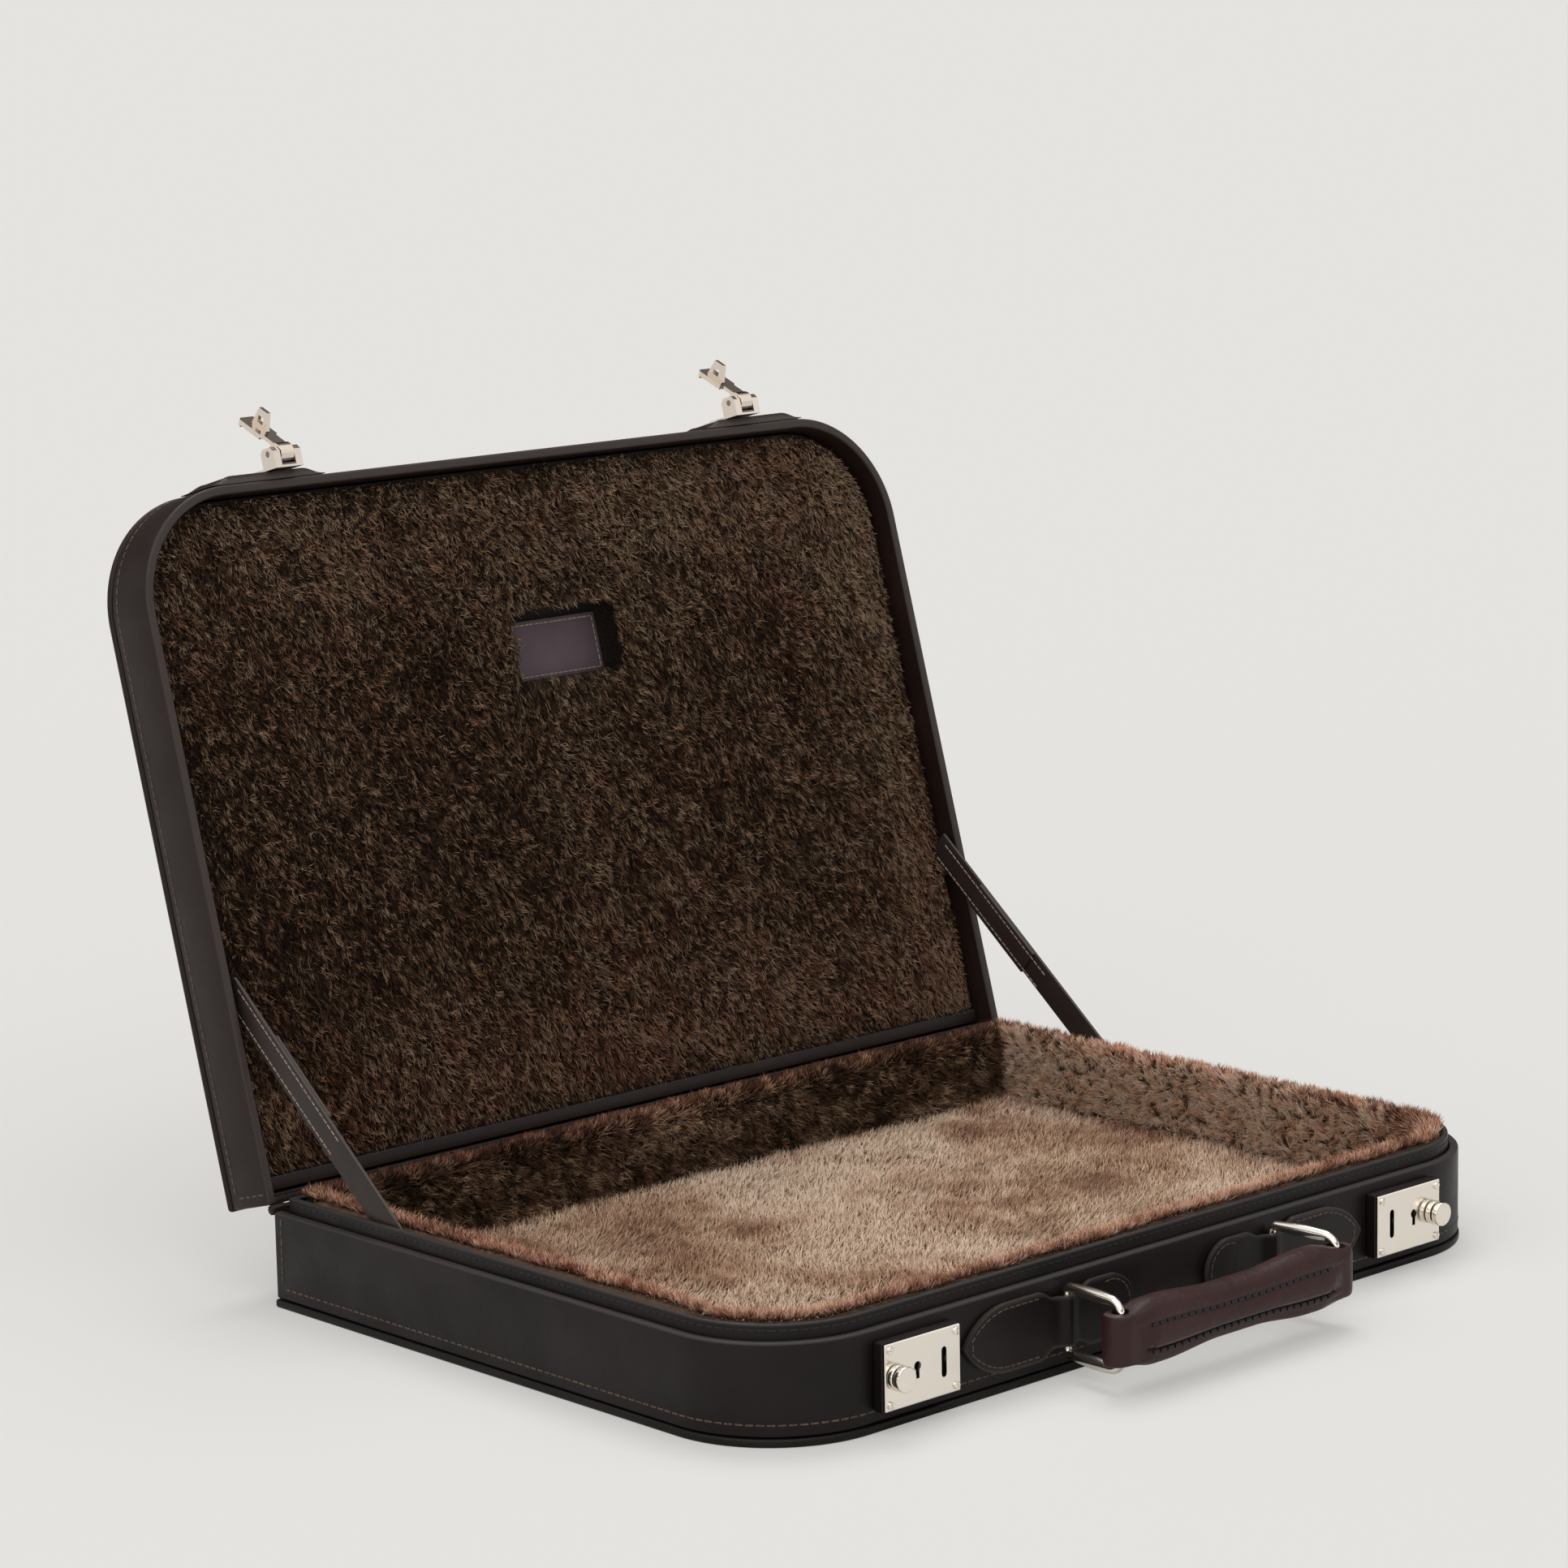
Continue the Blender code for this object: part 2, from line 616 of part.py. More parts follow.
def make_stays():
    """The two leather straps that stop the lid, each lapped over itself near the lid."""
    start = Vector((0.0, STAY_BASE_Y, STAY_BASE_Z))
    end = lid_point(STAY_LID_REACH, STAY_LID_DEPTH)
    along = (end - start).normalized()
    across = Vector((0.0, -along.z, along.y)) * STAY_WIDTH / 2
    length = (end - start).length
    for side, name in ((-1.0, "left"), (1.0, "right")):
        outer = side * (CASE_WIDTH / 2 - LINING_INSET)
        inner = outer - side * STAY_THICK
        corners = [start + across, end + across, end - across, start - across]
        outline = [(corner.y, corner.z) for corner in corners]
        strap_mesh = side_outline_mesh(outline, min(outer, inner), max(outer, inner))
        strap = add_part(f"stay_{name}", strap_mesh, LEATHER)
        lap_start = start + along * length * STAY_LAP_START_SHARE
        lap_end = start + along * length * STAY_LAP_END_SHARE
        lap = [lap_start + across, lap_end + across, lap_end - across, lap_start - across]
        lap_outline = [(corner.y, corner.z) for corner in lap]
        lap_inner = inner - side * STAY_THICK
        overlap = inner + side * STAY_THICK / 2
        lap_mesh = side_outline_mesh(lap_outline, min(lap_inner, overlap), max(lap_inner, overlap))
        combine(strap, lap_mesh, "UNION")


def lock_place(side, offset):
    """An X place on a lock, offset towards the handle when positive."""
    return side * (LOCK_X - offset)


def screw_places(side):
    """The four screws of a lock plate, as X and Z."""
    places = []
    for across in (-1.0, 1.0):
        for up in (-1.0, 1.0):
            x = side * LOCK_X + across * (LOCK_WIDTH / 2 - SCREW_INSET)
            z = LOCK_Z + up * (LOCK_HEIGHT / 2 - SCREW_INSET)
            places.append((x, z))
    return places


def keyhole_outline(side):
    """A round top over a narrow slit, as one outline."""
    x = lock_place(side, -KEYHOLE_OFFSET)
    top_z = LOCK_Z + KEYHOLE_LENGTH / 2 - KEYHOLE_RADIUS
    bottom_z = LOCK_Z - KEYHOLE_LENGTH / 2
    half = KEYHOLE_SLIT / 2
    opening = math.degrees(math.asin(half / KEYHOLE_RADIUS))
    points = [(x + half, bottom_z)]
    for step in range(SMALL_SIDES + 1):
        angle = math.radians(opening - 90.0 + (360.0 - 2 * opening) * step / SMALL_SIDES)
        points.append((x + KEYHOLE_RADIUS * math.cos(angle), top_z + KEYHOLE_RADIUS * math.sin(angle)))
    points.append((x - half, bottom_z))
    return points


def slot_outline(x, z, width, length):
    """An upright slot with round ends."""
    radius = width / 2
    points = []
    for first, centre_z in ((0.0, z + length / 2 - radius), (180.0, z - length / 2 + radius)):
        for step in range(7):
            angle = math.radians(first + 30.0 * step)
            points.append((x + radius * math.cos(angle), centre_z + radius * math.sin(angle)))
    return points


def make_lock_body(side, name):
    """The raised leather block and the nickel plate, with their openings."""
    half_x = LOCK_WIDTH / 2
    half_z = LOCK_HEIGHT / 2
    x = side * LOCK_X
    block_low = (x - half_x - LOCK_BOX_MARGIN, BOX_FRONT_Y, LOCK_Z - half_z - LOCK_BOX_MARGIN)
    block_high = (x + half_x + LOCK_BOX_MARGIN, FRONT_Y - FIT_GAP, LOCK_Z + half_z + LOCK_BOX_MARGIN)
    block = add_part(f"lock_block_{name}", box_mesh(block_low, block_high), LEATHER)
    round_edges(block, LOCK_BOX_MARGIN, 1)
    room_x = half_x - LOCK_BOX_RIM
    room_z = half_z - LOCK_BOX_BAND
    cavity_low = (x - room_x, BOX_FRONT_Y - OVERRUN, LOCK_Z - room_z)
    cavity_high = (x + room_x, FRONT_Y - FIT_GAP - LOCK_BOX_FLOOR, LOCK_Z + room_z)
    combine(block, box_mesh(cavity_low, cavity_high), "DIFFERENCE")
    slot_x = lock_place(side, SLOT_OFFSET)
    half_slot = SLOT_WIDTH / 2 + BOLT_WINDOW_MARGIN
    passage_low = (slot_x - half_slot, FRONT_Y - LOCK_BOX / 2, LOCK_Z - SLOT_LENGTH / 2)
    passage_high = (slot_x + half_slot, FRONT_Y + OVERRUN, LOCK_Z + SLOT_LENGTH / 2)
    combine(block, box_mesh(passage_low, passage_high), "DIFFERENCE")
    shank_hole = SCREW_SHANK + SCREW_CLEARANCE
    holes = []
    for screw_x, screw_z in screw_places(side):
        start = (screw_x, PLATE_FRONT_Y - OVERRUN, screw_z)
        end = (screw_x, PLATE_BACK_Y + SCREW_DEPTH, screw_z)
        holes.append(rod_mesh(start, end, shank_hole, sides=SMALL_SIDES))
    combine(block, joined_mesh(holes), "DIFFERENCE")

    plate_low = (x - half_x, PLATE_FRONT_Y, LOCK_Z - half_z)
    plate_high = (x + half_x, PLATE_BACK_Y, LOCK_Z + half_z)
    plate = add_part(f"lock_plate_{name}", box_mesh(plate_low, plate_high), NICKEL)
    round_edges(plate, LOCK_PLATE_EDGE, 1)
    slot = slot_outline(slot_x, LOCK_Z, SLOT_WIDTH, SLOT_LENGTH)
    cuts = [
        front_outline_mesh([slot], PLATE_BACK_Y + OVERRUN, PLATE_FRONT_Y - OVERRUN),
        front_outline_mesh([keyhole_outline(side)], PLATE_BACK_Y + OVERRUN, PLATE_FRONT_Y - OVERRUN),
    ]
    knob_x = lock_place(side, -KNOB_OFFSET)
    knob_start = (knob_x, PLATE_FRONT_Y - OVERRUN, LOCK_Z)
    knob_end = (knob_x, PLATE_BACK_Y + OVERRUN, LOCK_Z)
    cuts.append(rod_mesh(knob_start, knob_end, SHAFT_RADIUS + SHAFT_CLEARANCE))
    combine(plate, joined_mesh(cuts + [hole.copy() for hole in holes]), "DIFFERENCE")


def make_screw(name, x, z, face_y, head, material):
    """A round-headed screw along Y with a slit in its head."""
    base_y = face_y - FIT_GAP
    top_y = base_y - SCREW_RISE
    head_mesh = rod_mesh((x, base_y, z), (x, top_y, z), head, head * SCREW_TOP_SHARE, SMALL_SIDES)
    screw = add_part(name, head_mesh, material, smooth=True)
    shank_end = (x, face_y + SCREW_DEPTH - FIT_GAP, z)
    shank = rod_mesh((x, base_y - SCREW_RISE / 2, z), shank_end, SCREW_SHANK, sides=SMALL_SIDES)
    slit_low = (x - SCREW_SLIT / 2, top_y - OVERRUN, z - head - OVERRUN)
    slit_high = (x + SCREW_SLIT / 2, top_y + SCREW_RISE / 2, z + head + OVERRUN)
    slit = box_mesh(slit_low, slit_high)
    return [screw, combine(screw, slit, "DIFFERENCE"), combine(screw, shank, "UNION")]


def knob_profile():
    """The knob's rods from its face to its tail, each as start, end and two radii."""
    collar_front = PLATE_FRONT_Y - FIT_GAP - COLLAR_LENGTH
    head_back = collar_front - KNOB_TRAVEL_GAP
    head_front = head_back - KNOB_HEAD
    cam_front = PLATE_BACK_Y + FIT_GAP
    cam_back = cam_front + KNOB_TRAVEL
    tail_end = cam_back + KNOB_TRAVEL + FIT_GAP
    return collar_front, head_back, head_front, cam_front, cam_back, tail_end


def make_lock_works(side, name):
    """Collar, push knob, bolt and spring of one lock."""
    x = lock_place(side, -KNOB_OFFSET)
    collar_front, head_back, head_front, cam_front, cam_back, tail_end = knob_profile()
    collar_back = PLATE_FRONT_Y - FIT_GAP
    collar_mesh = rod_mesh((x, collar_back, LOCK_Z), (x, collar_front, LOCK_Z), KNOB_RADIUS)
    collar = add_part(f"lock_collar_{name}", collar_mesh, NICKEL, smooth=True)
    bore_start = (x, collar_back + OVERRUN, LOCK_Z)
    bore_end = (x, collar_front - OVERRUN, LOCK_Z)
    combine(collar, rod_mesh(bore_start, bore_end, SHAFT_RADIUS + SHAFT_CLEARANCE), "DIFFERENCE")

    pivot = add_pivot(f"lock_knob_{name}_axis", Vector((x, PLATE_FRONT_Y, LOCK_Z)))
    head_mesh = rod_mesh((x, head_back, LOCK_Z), (x, head_front, LOCK_Z), KNOB_RADIUS)
    knob = add_part(f"lock_knob_{name}", head_mesh, NICKEL, smooth=True)
    round_edges(knob, KNOB_EDGE, 2)
    shaft_start = (x, head_back - KNOB_HEAD / 2, LOCK_Z)
    shaft = rod_mesh(shaft_start, (x, cam_back, LOCK_Z), SHAFT_RADIUS, sides=ROUND_SIDES)
    cam = rod_mesh((x, cam_front, LOCK_Z), (x, cam_back, LOCK_Z), CAM_RADIUS, SHAFT_RADIUS)
    tail = rod_mesh((x, cam_front, LOCK_Z), (x, tail_end, LOCK_Z), TAIL_RADIUS, sides=SMALL_SIDES)
    tools = [combine(knob, mesh, "UNION") for mesh in (shaft, cam, tail)]
    hang([knob, *tools], pivot, Vector((x, PLATE_FRONT_Y, LOCK_Z)))

    make_bolt(side, name, cam_back)
    make_spring(x, name, cam_back + FIT_GAP, FRONT_Y - FIT_GAP - LOCK_BOX_FLOOR - FIT_GAP)


def make_bolt(side, name, cam_back):
    """A sliding frame round the staple, whose nose crosses the slot."""
    slot_x = lock_place(side, SLOT_OFFSET)
    towards = -side
    front_y = cam_back + FIT_GAP
    back_y = front_y + BOLT_THICK
    window_half = SLOT_WIDTH / 2 + BOLT_WINDOW_MARGIN
    high_z = SLOT_LENGTH / 2 + BOLT_WINDOW_MARGIN
    handle_x = slot_x + towards * (window_half + BOLT_FRAME)
    knob_x = lock_place(side, -KNOB_OFFSET) + towards * (CAM_RADIUS + FIT_GAP)
    low = (min(handle_x, knob_x), front_y, LOCK_Z - high_z - BOLT_FRAME)
    high = (max(handle_x, knob_x), back_y, LOCK_Z + high_z + BOLT_FRAME)
    bolt = add_part(f"lock_bolt_{name}", box_mesh(low, high), STEEL)
    far_x = slot_x - towards * (window_half + BOLT_TRAVEL)
    near_x = slot_x + towards * window_half
    window_low = (min(far_x, near_x), front_y - OVERRUN, LOCK_Z - high_z)
    window_high = (max(far_x, near_x), back_y + OVERRUN, LOCK_Z + high_z)
    combine(bolt, box_mesh(window_low, window_high), "DIFFERENCE")
    nose_x = near_x - towards * BOLT_NOSE_REACH
    root_x = near_x + towards * BOLT_FRAME / 2
    nose_low = (min(nose_x, root_x), front_y, LOCK_Z - BOLT_NOSE / 2)
    nose_high = (max(nose_x, root_x), back_y, LOCK_Z + BOLT_NOSE / 2)
    combine(bolt, box_mesh(nose_low, nose_high), "UNION")


def make_spring(x, name, front_y, back_y):
    """The coil spring behind a push knob."""
    steps = int(SPRING_TURNS * 10)
    curve = bpy.data.curves.new("spring", "CURVE")
    curve.dimensions = "3D"
    curve.bevel_depth = SPRING_WIRE
    curve.bevel_resolution = 1
    curve.use_fill_caps = True
    spline = curve.splines.new("POLY")
    spline.points.add(steps)
    start_y = front_y + SPRING_WIRE
    travel = back_y - SPRING_WIRE - start_y
    for step, point in enumerate(spline.points):
        share = step / steps
        angle = 2 * math.pi * SPRING_TURNS * share
        place_x = x + SPRING_RADIUS * math.cos(angle)
        place_z = LOCK_Z + SPRING_RADIUS * math.sin(angle)
        point.co = (place_x, start_y + travel * share, place_z, 1.0)
    add_part(f"lock_spring_{name}", curve_mesh(curve), STEEL, smooth=True)


def tab_outline(side):
    """A handle tab: a pointed leaf outside, a neck at the ring, a round end inside."""
    ring_x = RING_ROOT_X
    belly = TAB_BELLY_REACH
    radius = (belly * belly + TAB_HALF * TAB_HALF) / (2 * TAB_HALF)
    sweep = math.asin(belly / radius)
    upper = []
    steps = 6
    for step in range(steps + 1):
        angle = sweep * (1.0 - step / steps)
        along = TAB_BELLY_X + radius * math.sin(angle)
        height = TAB_HALF - radius + radius * math.cos(angle)
        upper.append((along, max(height, 0.0)))
    shoulder = (TAB_BELLY_X + ring_x) / 2
    upper.append((shoulder, TAB_HALF * TAB_SHOULDER_SHARE))
    upper.append((ring_x + TAB_NECK_REACH, TAB_NECK_HALF))
    upper.append((ring_x - TAB_NECK_REACH, TAB_NECK_HALF))
    centre = TAB_END_X + TAB_END_HALF
    upper.append((ring_x - 2 * TAB_NECK_REACH, TAB_END_HALF))
    for step in range(steps + 1):
        angle = math.pi / 2 * (1.0 - step / steps)
        upper.append((centre - TAB_END_HALF * math.cos(angle), TAB_END_HALF * math.sin(angle)))
    lower = [(along, -height) for along, height in upper[-2:0:-1]]
    return [(side * along, LOCK_Z + height) for along, height in upper + lower]


def make_tab(side, name):
    """A leather tab with the tunnel that holds the ring."""
    back_y = FRONT_Y - FIT_GAP
    tab_mesh = front_outline_mesh([tab_outline(side)], back_y, back_y - TAB_THICK)
    tab = add_part(f"handle_tab_{name}", tab_mesh, LEATHER, smooth=True)
    round_edges(tab, TAB_EDGE, 1)
    x = side * RING_ROOT_X
    low_z = LOCK_Z - TAB_NECK_HALF + FIT_GAP
    high_z = LOCK_Z + TAB_NECK_HALF - FIT_GAP
    sleeve = rod_mesh((x, RING_AXIS_Y, low_z), (x, RING_AXIS_Y, high_z), TUNNEL_RADIUS)
    combine(tab, sleeve, "UNION")
    behind = box_mesh(
        (x - TUNNEL_RADIUS - OVERRUN, back_y, low_z - OVERRUN),
        (x + TUNNEL_RADIUS + OVERRUN, back_y + TUNNEL_RADIUS, high_z + OVERRUN),
    )
    combine(tab, behind, "DIFFERENCE")
    bore_start = (x, RING_AXIS_Y, low_z - OVERRUN)
    bore_end = (x, RING_AXIS_Y, high_z + OVERRUN)
    combine(tab, rod_mesh(bore_start, bore_end, RING_WIRE + RING_CLEARANCE), "DIFFERENCE")


def ring_line():
    """The ring's centre line as reach, height and thickness share."""
    line = []
    steps = 5
    corners = (
        (RING_REACH, RING_HALF, RING_CORNER, 0.0),
        (RING_REACH, -RING_HALF, RING_CORNER, -90.0),
        (0.0, -RING_HALF, RING_ROOT_CORNER, -180.0),
        (0.0, RING_HALF, RING_ROOT_CORNER, -270.0),
    )
    for reach, height, radius, start in corners:
        centre_reach = reach - radius if reach else radius
        centre_height = height - math.copysign(radius, height)
        for step in range(steps + 1):
            angle = math.radians(start + 90.0 - 90.0 * step / steps)
            line.append((centre_reach + radius * math.cos(angle), centre_height + radius * math.sin(angle)))
        if start in (-90.0, -270.0):
            sign = math.copysign(1.0, height)
            ends = (RING_REACH - RING_CORNER, RING_ROOT_CORNER)
            first, last = ends if start == -90.0 else ends[::-1]
            line += [(first + (last - first) * share, sign * RING_HALF) for share in RING_BAR_SHARES]
    return line


def ring_swell(reach, height):
    """How much thicker the ring is along its two bars than at its ends."""
    share = min(max((reach - RING_ROOT_CORNER) / (RING_REACH - RING_CORNER - RING_ROOT_CORNER), 0.0), 1.0)
    beside = abs(height) > RING_HALF - RING_CORNER / 2
    return 1.0 + (RING_SWELL_SHARE - 1.0) * math.sin(math.pi * share) if beside else 1.0


def make_ring(side, name):
    """A nickel ring, thicker along its upper and lower bars."""
    curve = bpy.data.curves.new("ring", "CURVE")
    curve.dimensions = "3D"
    curve.bevel_depth = RING_WIRE
    curve.bevel_resolution = 3
    line = ring_line()
    spline = curve.splines.new("POLY")
    spline.points.add(len(line) - 1)
    spline.use_cyclic_u = True
    x = side * RING_ROOT_X
    for point, (reach, height) in zip(spline.points, line):
        place_x = x + side * RING_SPLAY * reach / RING_REACH
        point.co = (place_x, RING_AXIS_Y - reach, LOCK_Z + height, 1.0)
        point.radius = ring_swell(reach, height)
    place = Vector((x, RING_AXIS_Y, LOCK_Z))
    pivot = add_pivot(f"ring_{name}_axis", place)
    ring = add_part(f"ring_{name}", curve_mesh(curve), NICKEL, smooth=True)
    hang([ring], pivot, place)
    return pivot, place


def make_grip(left_pivot, left_place):
    """The leather grip, waisted in the middle, with a loop at each end."""
    bar_x = RING_ROOT_X + RING_SPLAY
    left_end = -bar_x - GRIP_BORE_SHIFT - GRIP_LOOP_RADIUS
    right_end = bar_x - GRIP_BORE_SHIFT + GRIP_LOOP_RADIUS
    middle = (left_end + right_end) / 2
    half_length = (right_end - left_end) / 2
    bm = bmesh.new()
    bmesh.ops.create_cube(bm, size=1.0)
    stretch = Matrix.Diagonal((2 * half_length, 2 * GRIP_HALF_DEPTH, 2 * GRIP_LOOP_HALF, 1.0))
    bmesh.ops.transform(bm, matrix=stretch, verts=bm.verts)
    for share in GRIP_STATION_SHARES[:-1]:
        for x in {half_length * share, -half_length * share}:
            parts = bm.verts[:] + bm.edges[:] + bm.faces[:]
            bmesh.ops.bisect_plane(bm, geom=parts, plane_co=(x, 0.0, 0.0), plane_no=(1.0, 0.0, 0.0))
    for plane_no in ((0.0, 1.0, 0.0), (0.0, 0.0, 1.0)):
        parts = bm.verts[:] + bm.edges[:] + bm.faces[:]
        bmesh.ops.bisect_plane(bm, geom=parts, plane_co=(0.0, 0.0, 0.0), plane_no=plane_no)
    for vert in bm.verts:
        share = abs(vert.co.x) / half_length
        height, depth = grip_section(share)
        vert.co.z *= height / GRIP_LOOP_HALF
        vert.co.y *= depth / GRIP_HALF_DEPTH
    bmesh.ops.translate(bm, vec=(middle, GRIP_Y, LOCK_Z), verts=bm.verts)
    grip = add_part("handle_grip", mesh_from(bm, "handle_grip"), GRIP_LEATHER, smooth=True)
    soft = grip.modifiers.new("soft", "SUBSURF")
    soft.levels = 2
    soft.render_levels = 2
    bores = []
    for centre_x in (-bar_x - GRIP_BORE_SHIFT, bar_x - GRIP_BORE_SHIFT):
        start = (centre_x, GRIP_Y, LOCK_Z - 2 * GRIP_SHOULDER_HALF)
        end = (centre_x, GRIP_Y, LOCK_Z + 2 * GRIP_SHOULDER_HALF)
        bores.append(rod_mesh(start, end, GRIP_BORE, sides=ROUND_SIDES))
    bore_tool = combine(grip, joined_mesh(bores), "DIFFERENCE")
    place = Vector((-bar_x, GRIP_Y, LOCK_Z))
    pivot = add_pivot("handle_grip_axis", place, left_pivot, left_place)
    hang([grip, bore_tool], pivot, place)


def grip_section(share):
    """Half height and half depth of the grip at a share of its half length."""
    for index, station in enumerate(GRIP_STATION_SHARES):
        if share <= station + GRIP_STATION_TOLERANCE_SHARE:
            body = GRIP_BODY_SHARES[index]
            break
    else:
        body = GRIP_BODY_SHARES[-1]
    at_end = share > GRIP_STATION_SHARES[-3]
    narrow = GRIP_LOOP_HALF * GRIP_SOFT_SHARE if at_end else GRIP_WAIST_HALF
    depth = GRIP_LOOP_RADIUS * GRIP_SOFT_SHARE if at_end else GRIP_HALF_DEPTH
    return narrow + (GRIP_SHOULDER_HALF - narrow) * body, depth


def make_hasp_mount(side, name):
    """The leather pad, nickel plate with two cheeks, pin, leaf spring and screws."""
    pad_x = side * PAD_X
    pad_low = (pad_x - PAD_WIDTH / 2, PAD_FRONT_Y, LID_RIM_Z + PAD_EDGE_LIFT)
    pad_high = (pad_x + PAD_WIDTH / 2, FRONT_Y - FIT_GAP, LID_RIM_Z + PAD_LENGTH)
    pad = add_part(f"hasp_pad_{name}", pad_mesh(pad_low, pad_high), LEATHER)

    x = side * HASP_X
    plate_front = HASP_PLATE_Y
    plate_back = HASP_PLATE_Y + HASP_PLATE
    half = HASP_PLATE_WIDTH / 2
    front_z = HASP_PIVOT_Z - CHEEK_FRONT
    back_z = HASP_PIVOT_Z + CHEEK_BACK
    plate_low = (x - half, plate_front, front_z)
    plate_high = (x + half, plate_back, HASP_PIVOT_Z + HASP_PLATE_REACH)
    plate = add_part(f"hasp_plate_{name}", box_mesh(plate_low, plate_high), NICKEL)
    tongue_low = (x - HASP_TONGUE_WIDTH / 2, plate_front, HASP_PIVOT_Z)
    tongue_end = HASP_PIVOT_Z + HASP_PLATE_REACH + HASP_TONGUE_LENGTH
    tongue_high = (x + HASP_TONGUE_WIDTH / 2, plate_back, tongue_end)
    tools = [combine(plate, box_mesh(tongue_low, tongue_high), "UNION")]
    cheeks = []
    for edge in (-1.0, 1.0):
        outer = x + edge * half
        inner = outer - edge * CHEEK_THICK
        top = plate_front - CHEEK_HEIGHT
        cut = CHEEK_CHAMFER
        outline = [
            (plate_back, front_z),
            (top + cut, front_z),
            (top, front_z + cut),
            (top, back_z - cut),
            (top + cut, back_z),
            (plate_back, back_z),
        ]
        cheeks.append(side_outline_mesh(outline, min(outer, inner), max(outer, inner)))
    tools.append(combine(plate, joined_mesh(cheeks), "UNION"))
    pin_hole = HASP_PIN + HASP_PIN_CLEARANCE
    hole_start = (x - half - OVERRUN, HASP_PIVOT_Y, HASP_PIVOT_Z)
    hole_end = (x + half + OVERRUN, HASP_PIVOT_Y, HASP_PIVOT_Z)
    tools.append(combine(plate, rod_mesh(hole_start, hole_end, pin_hole, sides=SMALL_SIDES), "DIFFERENCE"))
    screw_zs = (HASP_PIVOT_Z + (HASP_PLATE_REACH + CHEEK_BACK) / 2, tongue_end - HASP_TONGUE_LENGTH / 2)
    places = [(x, z) for z in screw_zs]
    holes = []
    for screw_x, screw_z in places:
        start = (screw_x, plate_front - OVERRUN, screw_z)
        end = (screw_x, plate_front + SCREW_DEPTH, screw_z)
        holes.append(rod_mesh(start, end, SCREW_SHANK + SCREW_CLEARANCE, sides=SMALL_SIDES))
    tools.append(combine(plate, joined_mesh(holes), "DIFFERENCE"))
    tools.append(combine(pad, joined_mesh([hole.copy() for hole in holes]), "DIFFERENCE"))

    pin_start = (x - half, HASP_PIVOT_Y, HASP_PIVOT_Z)
    pin_end = (x + half, HASP_PIVOT_Y, HASP_PIVOT_Z)
    pin_mesh = rod_mesh(pin_start, pin_end, HASP_PIN, sides=SMALL_SIDES)
    pin = add_part(f"hasp_pin_{name}", pin_mesh, STEEL, smooth=True)
    spring_half = half - CHEEK_THICK - HASP_SIDE_GAP
    spring_front = plate_front - FIT_GAP - LEAF_SPRING
    spring_low = (x - spring_half, spring_front, front_z)
    spring_high = (x + spring_half, plate_front - FIT_GAP, back_z)
    spring = add_part(f"hasp_spring_{name}", box_mesh(spring_low, spring_high), STEEL)
    for number, (screw_x, screw_z) in enumerate(places, 1):
        screw_name = f"hasp_screw_{name}_{number}"
        tools += make_screw(screw_name, screw_x, screw_z, plate_front, HASP_SCREW_HEAD, NICKEL)
    return [pad, plate, pin, spring, *tools]


def pad_mesh(low, high):
    """A leather pad whose outer edges slope down to the wall."""
    bm = bmesh.new()
    bm.from_mesh(box_mesh(low, high))
    middle_x = (low[0] + high[0]) / 2
    for vert in bm.verts:
        if vert.co.y < (low[1] + high[1]) / 2:
            vert.co.x -= math.copysign(PAD_EDGE, vert.co.x - middle_x)
            if vert.co.z > (low[2] + high[2]) / 2:
                vert.co.z -= PAD_EDGE
    return mesh_from(bm, "pad")


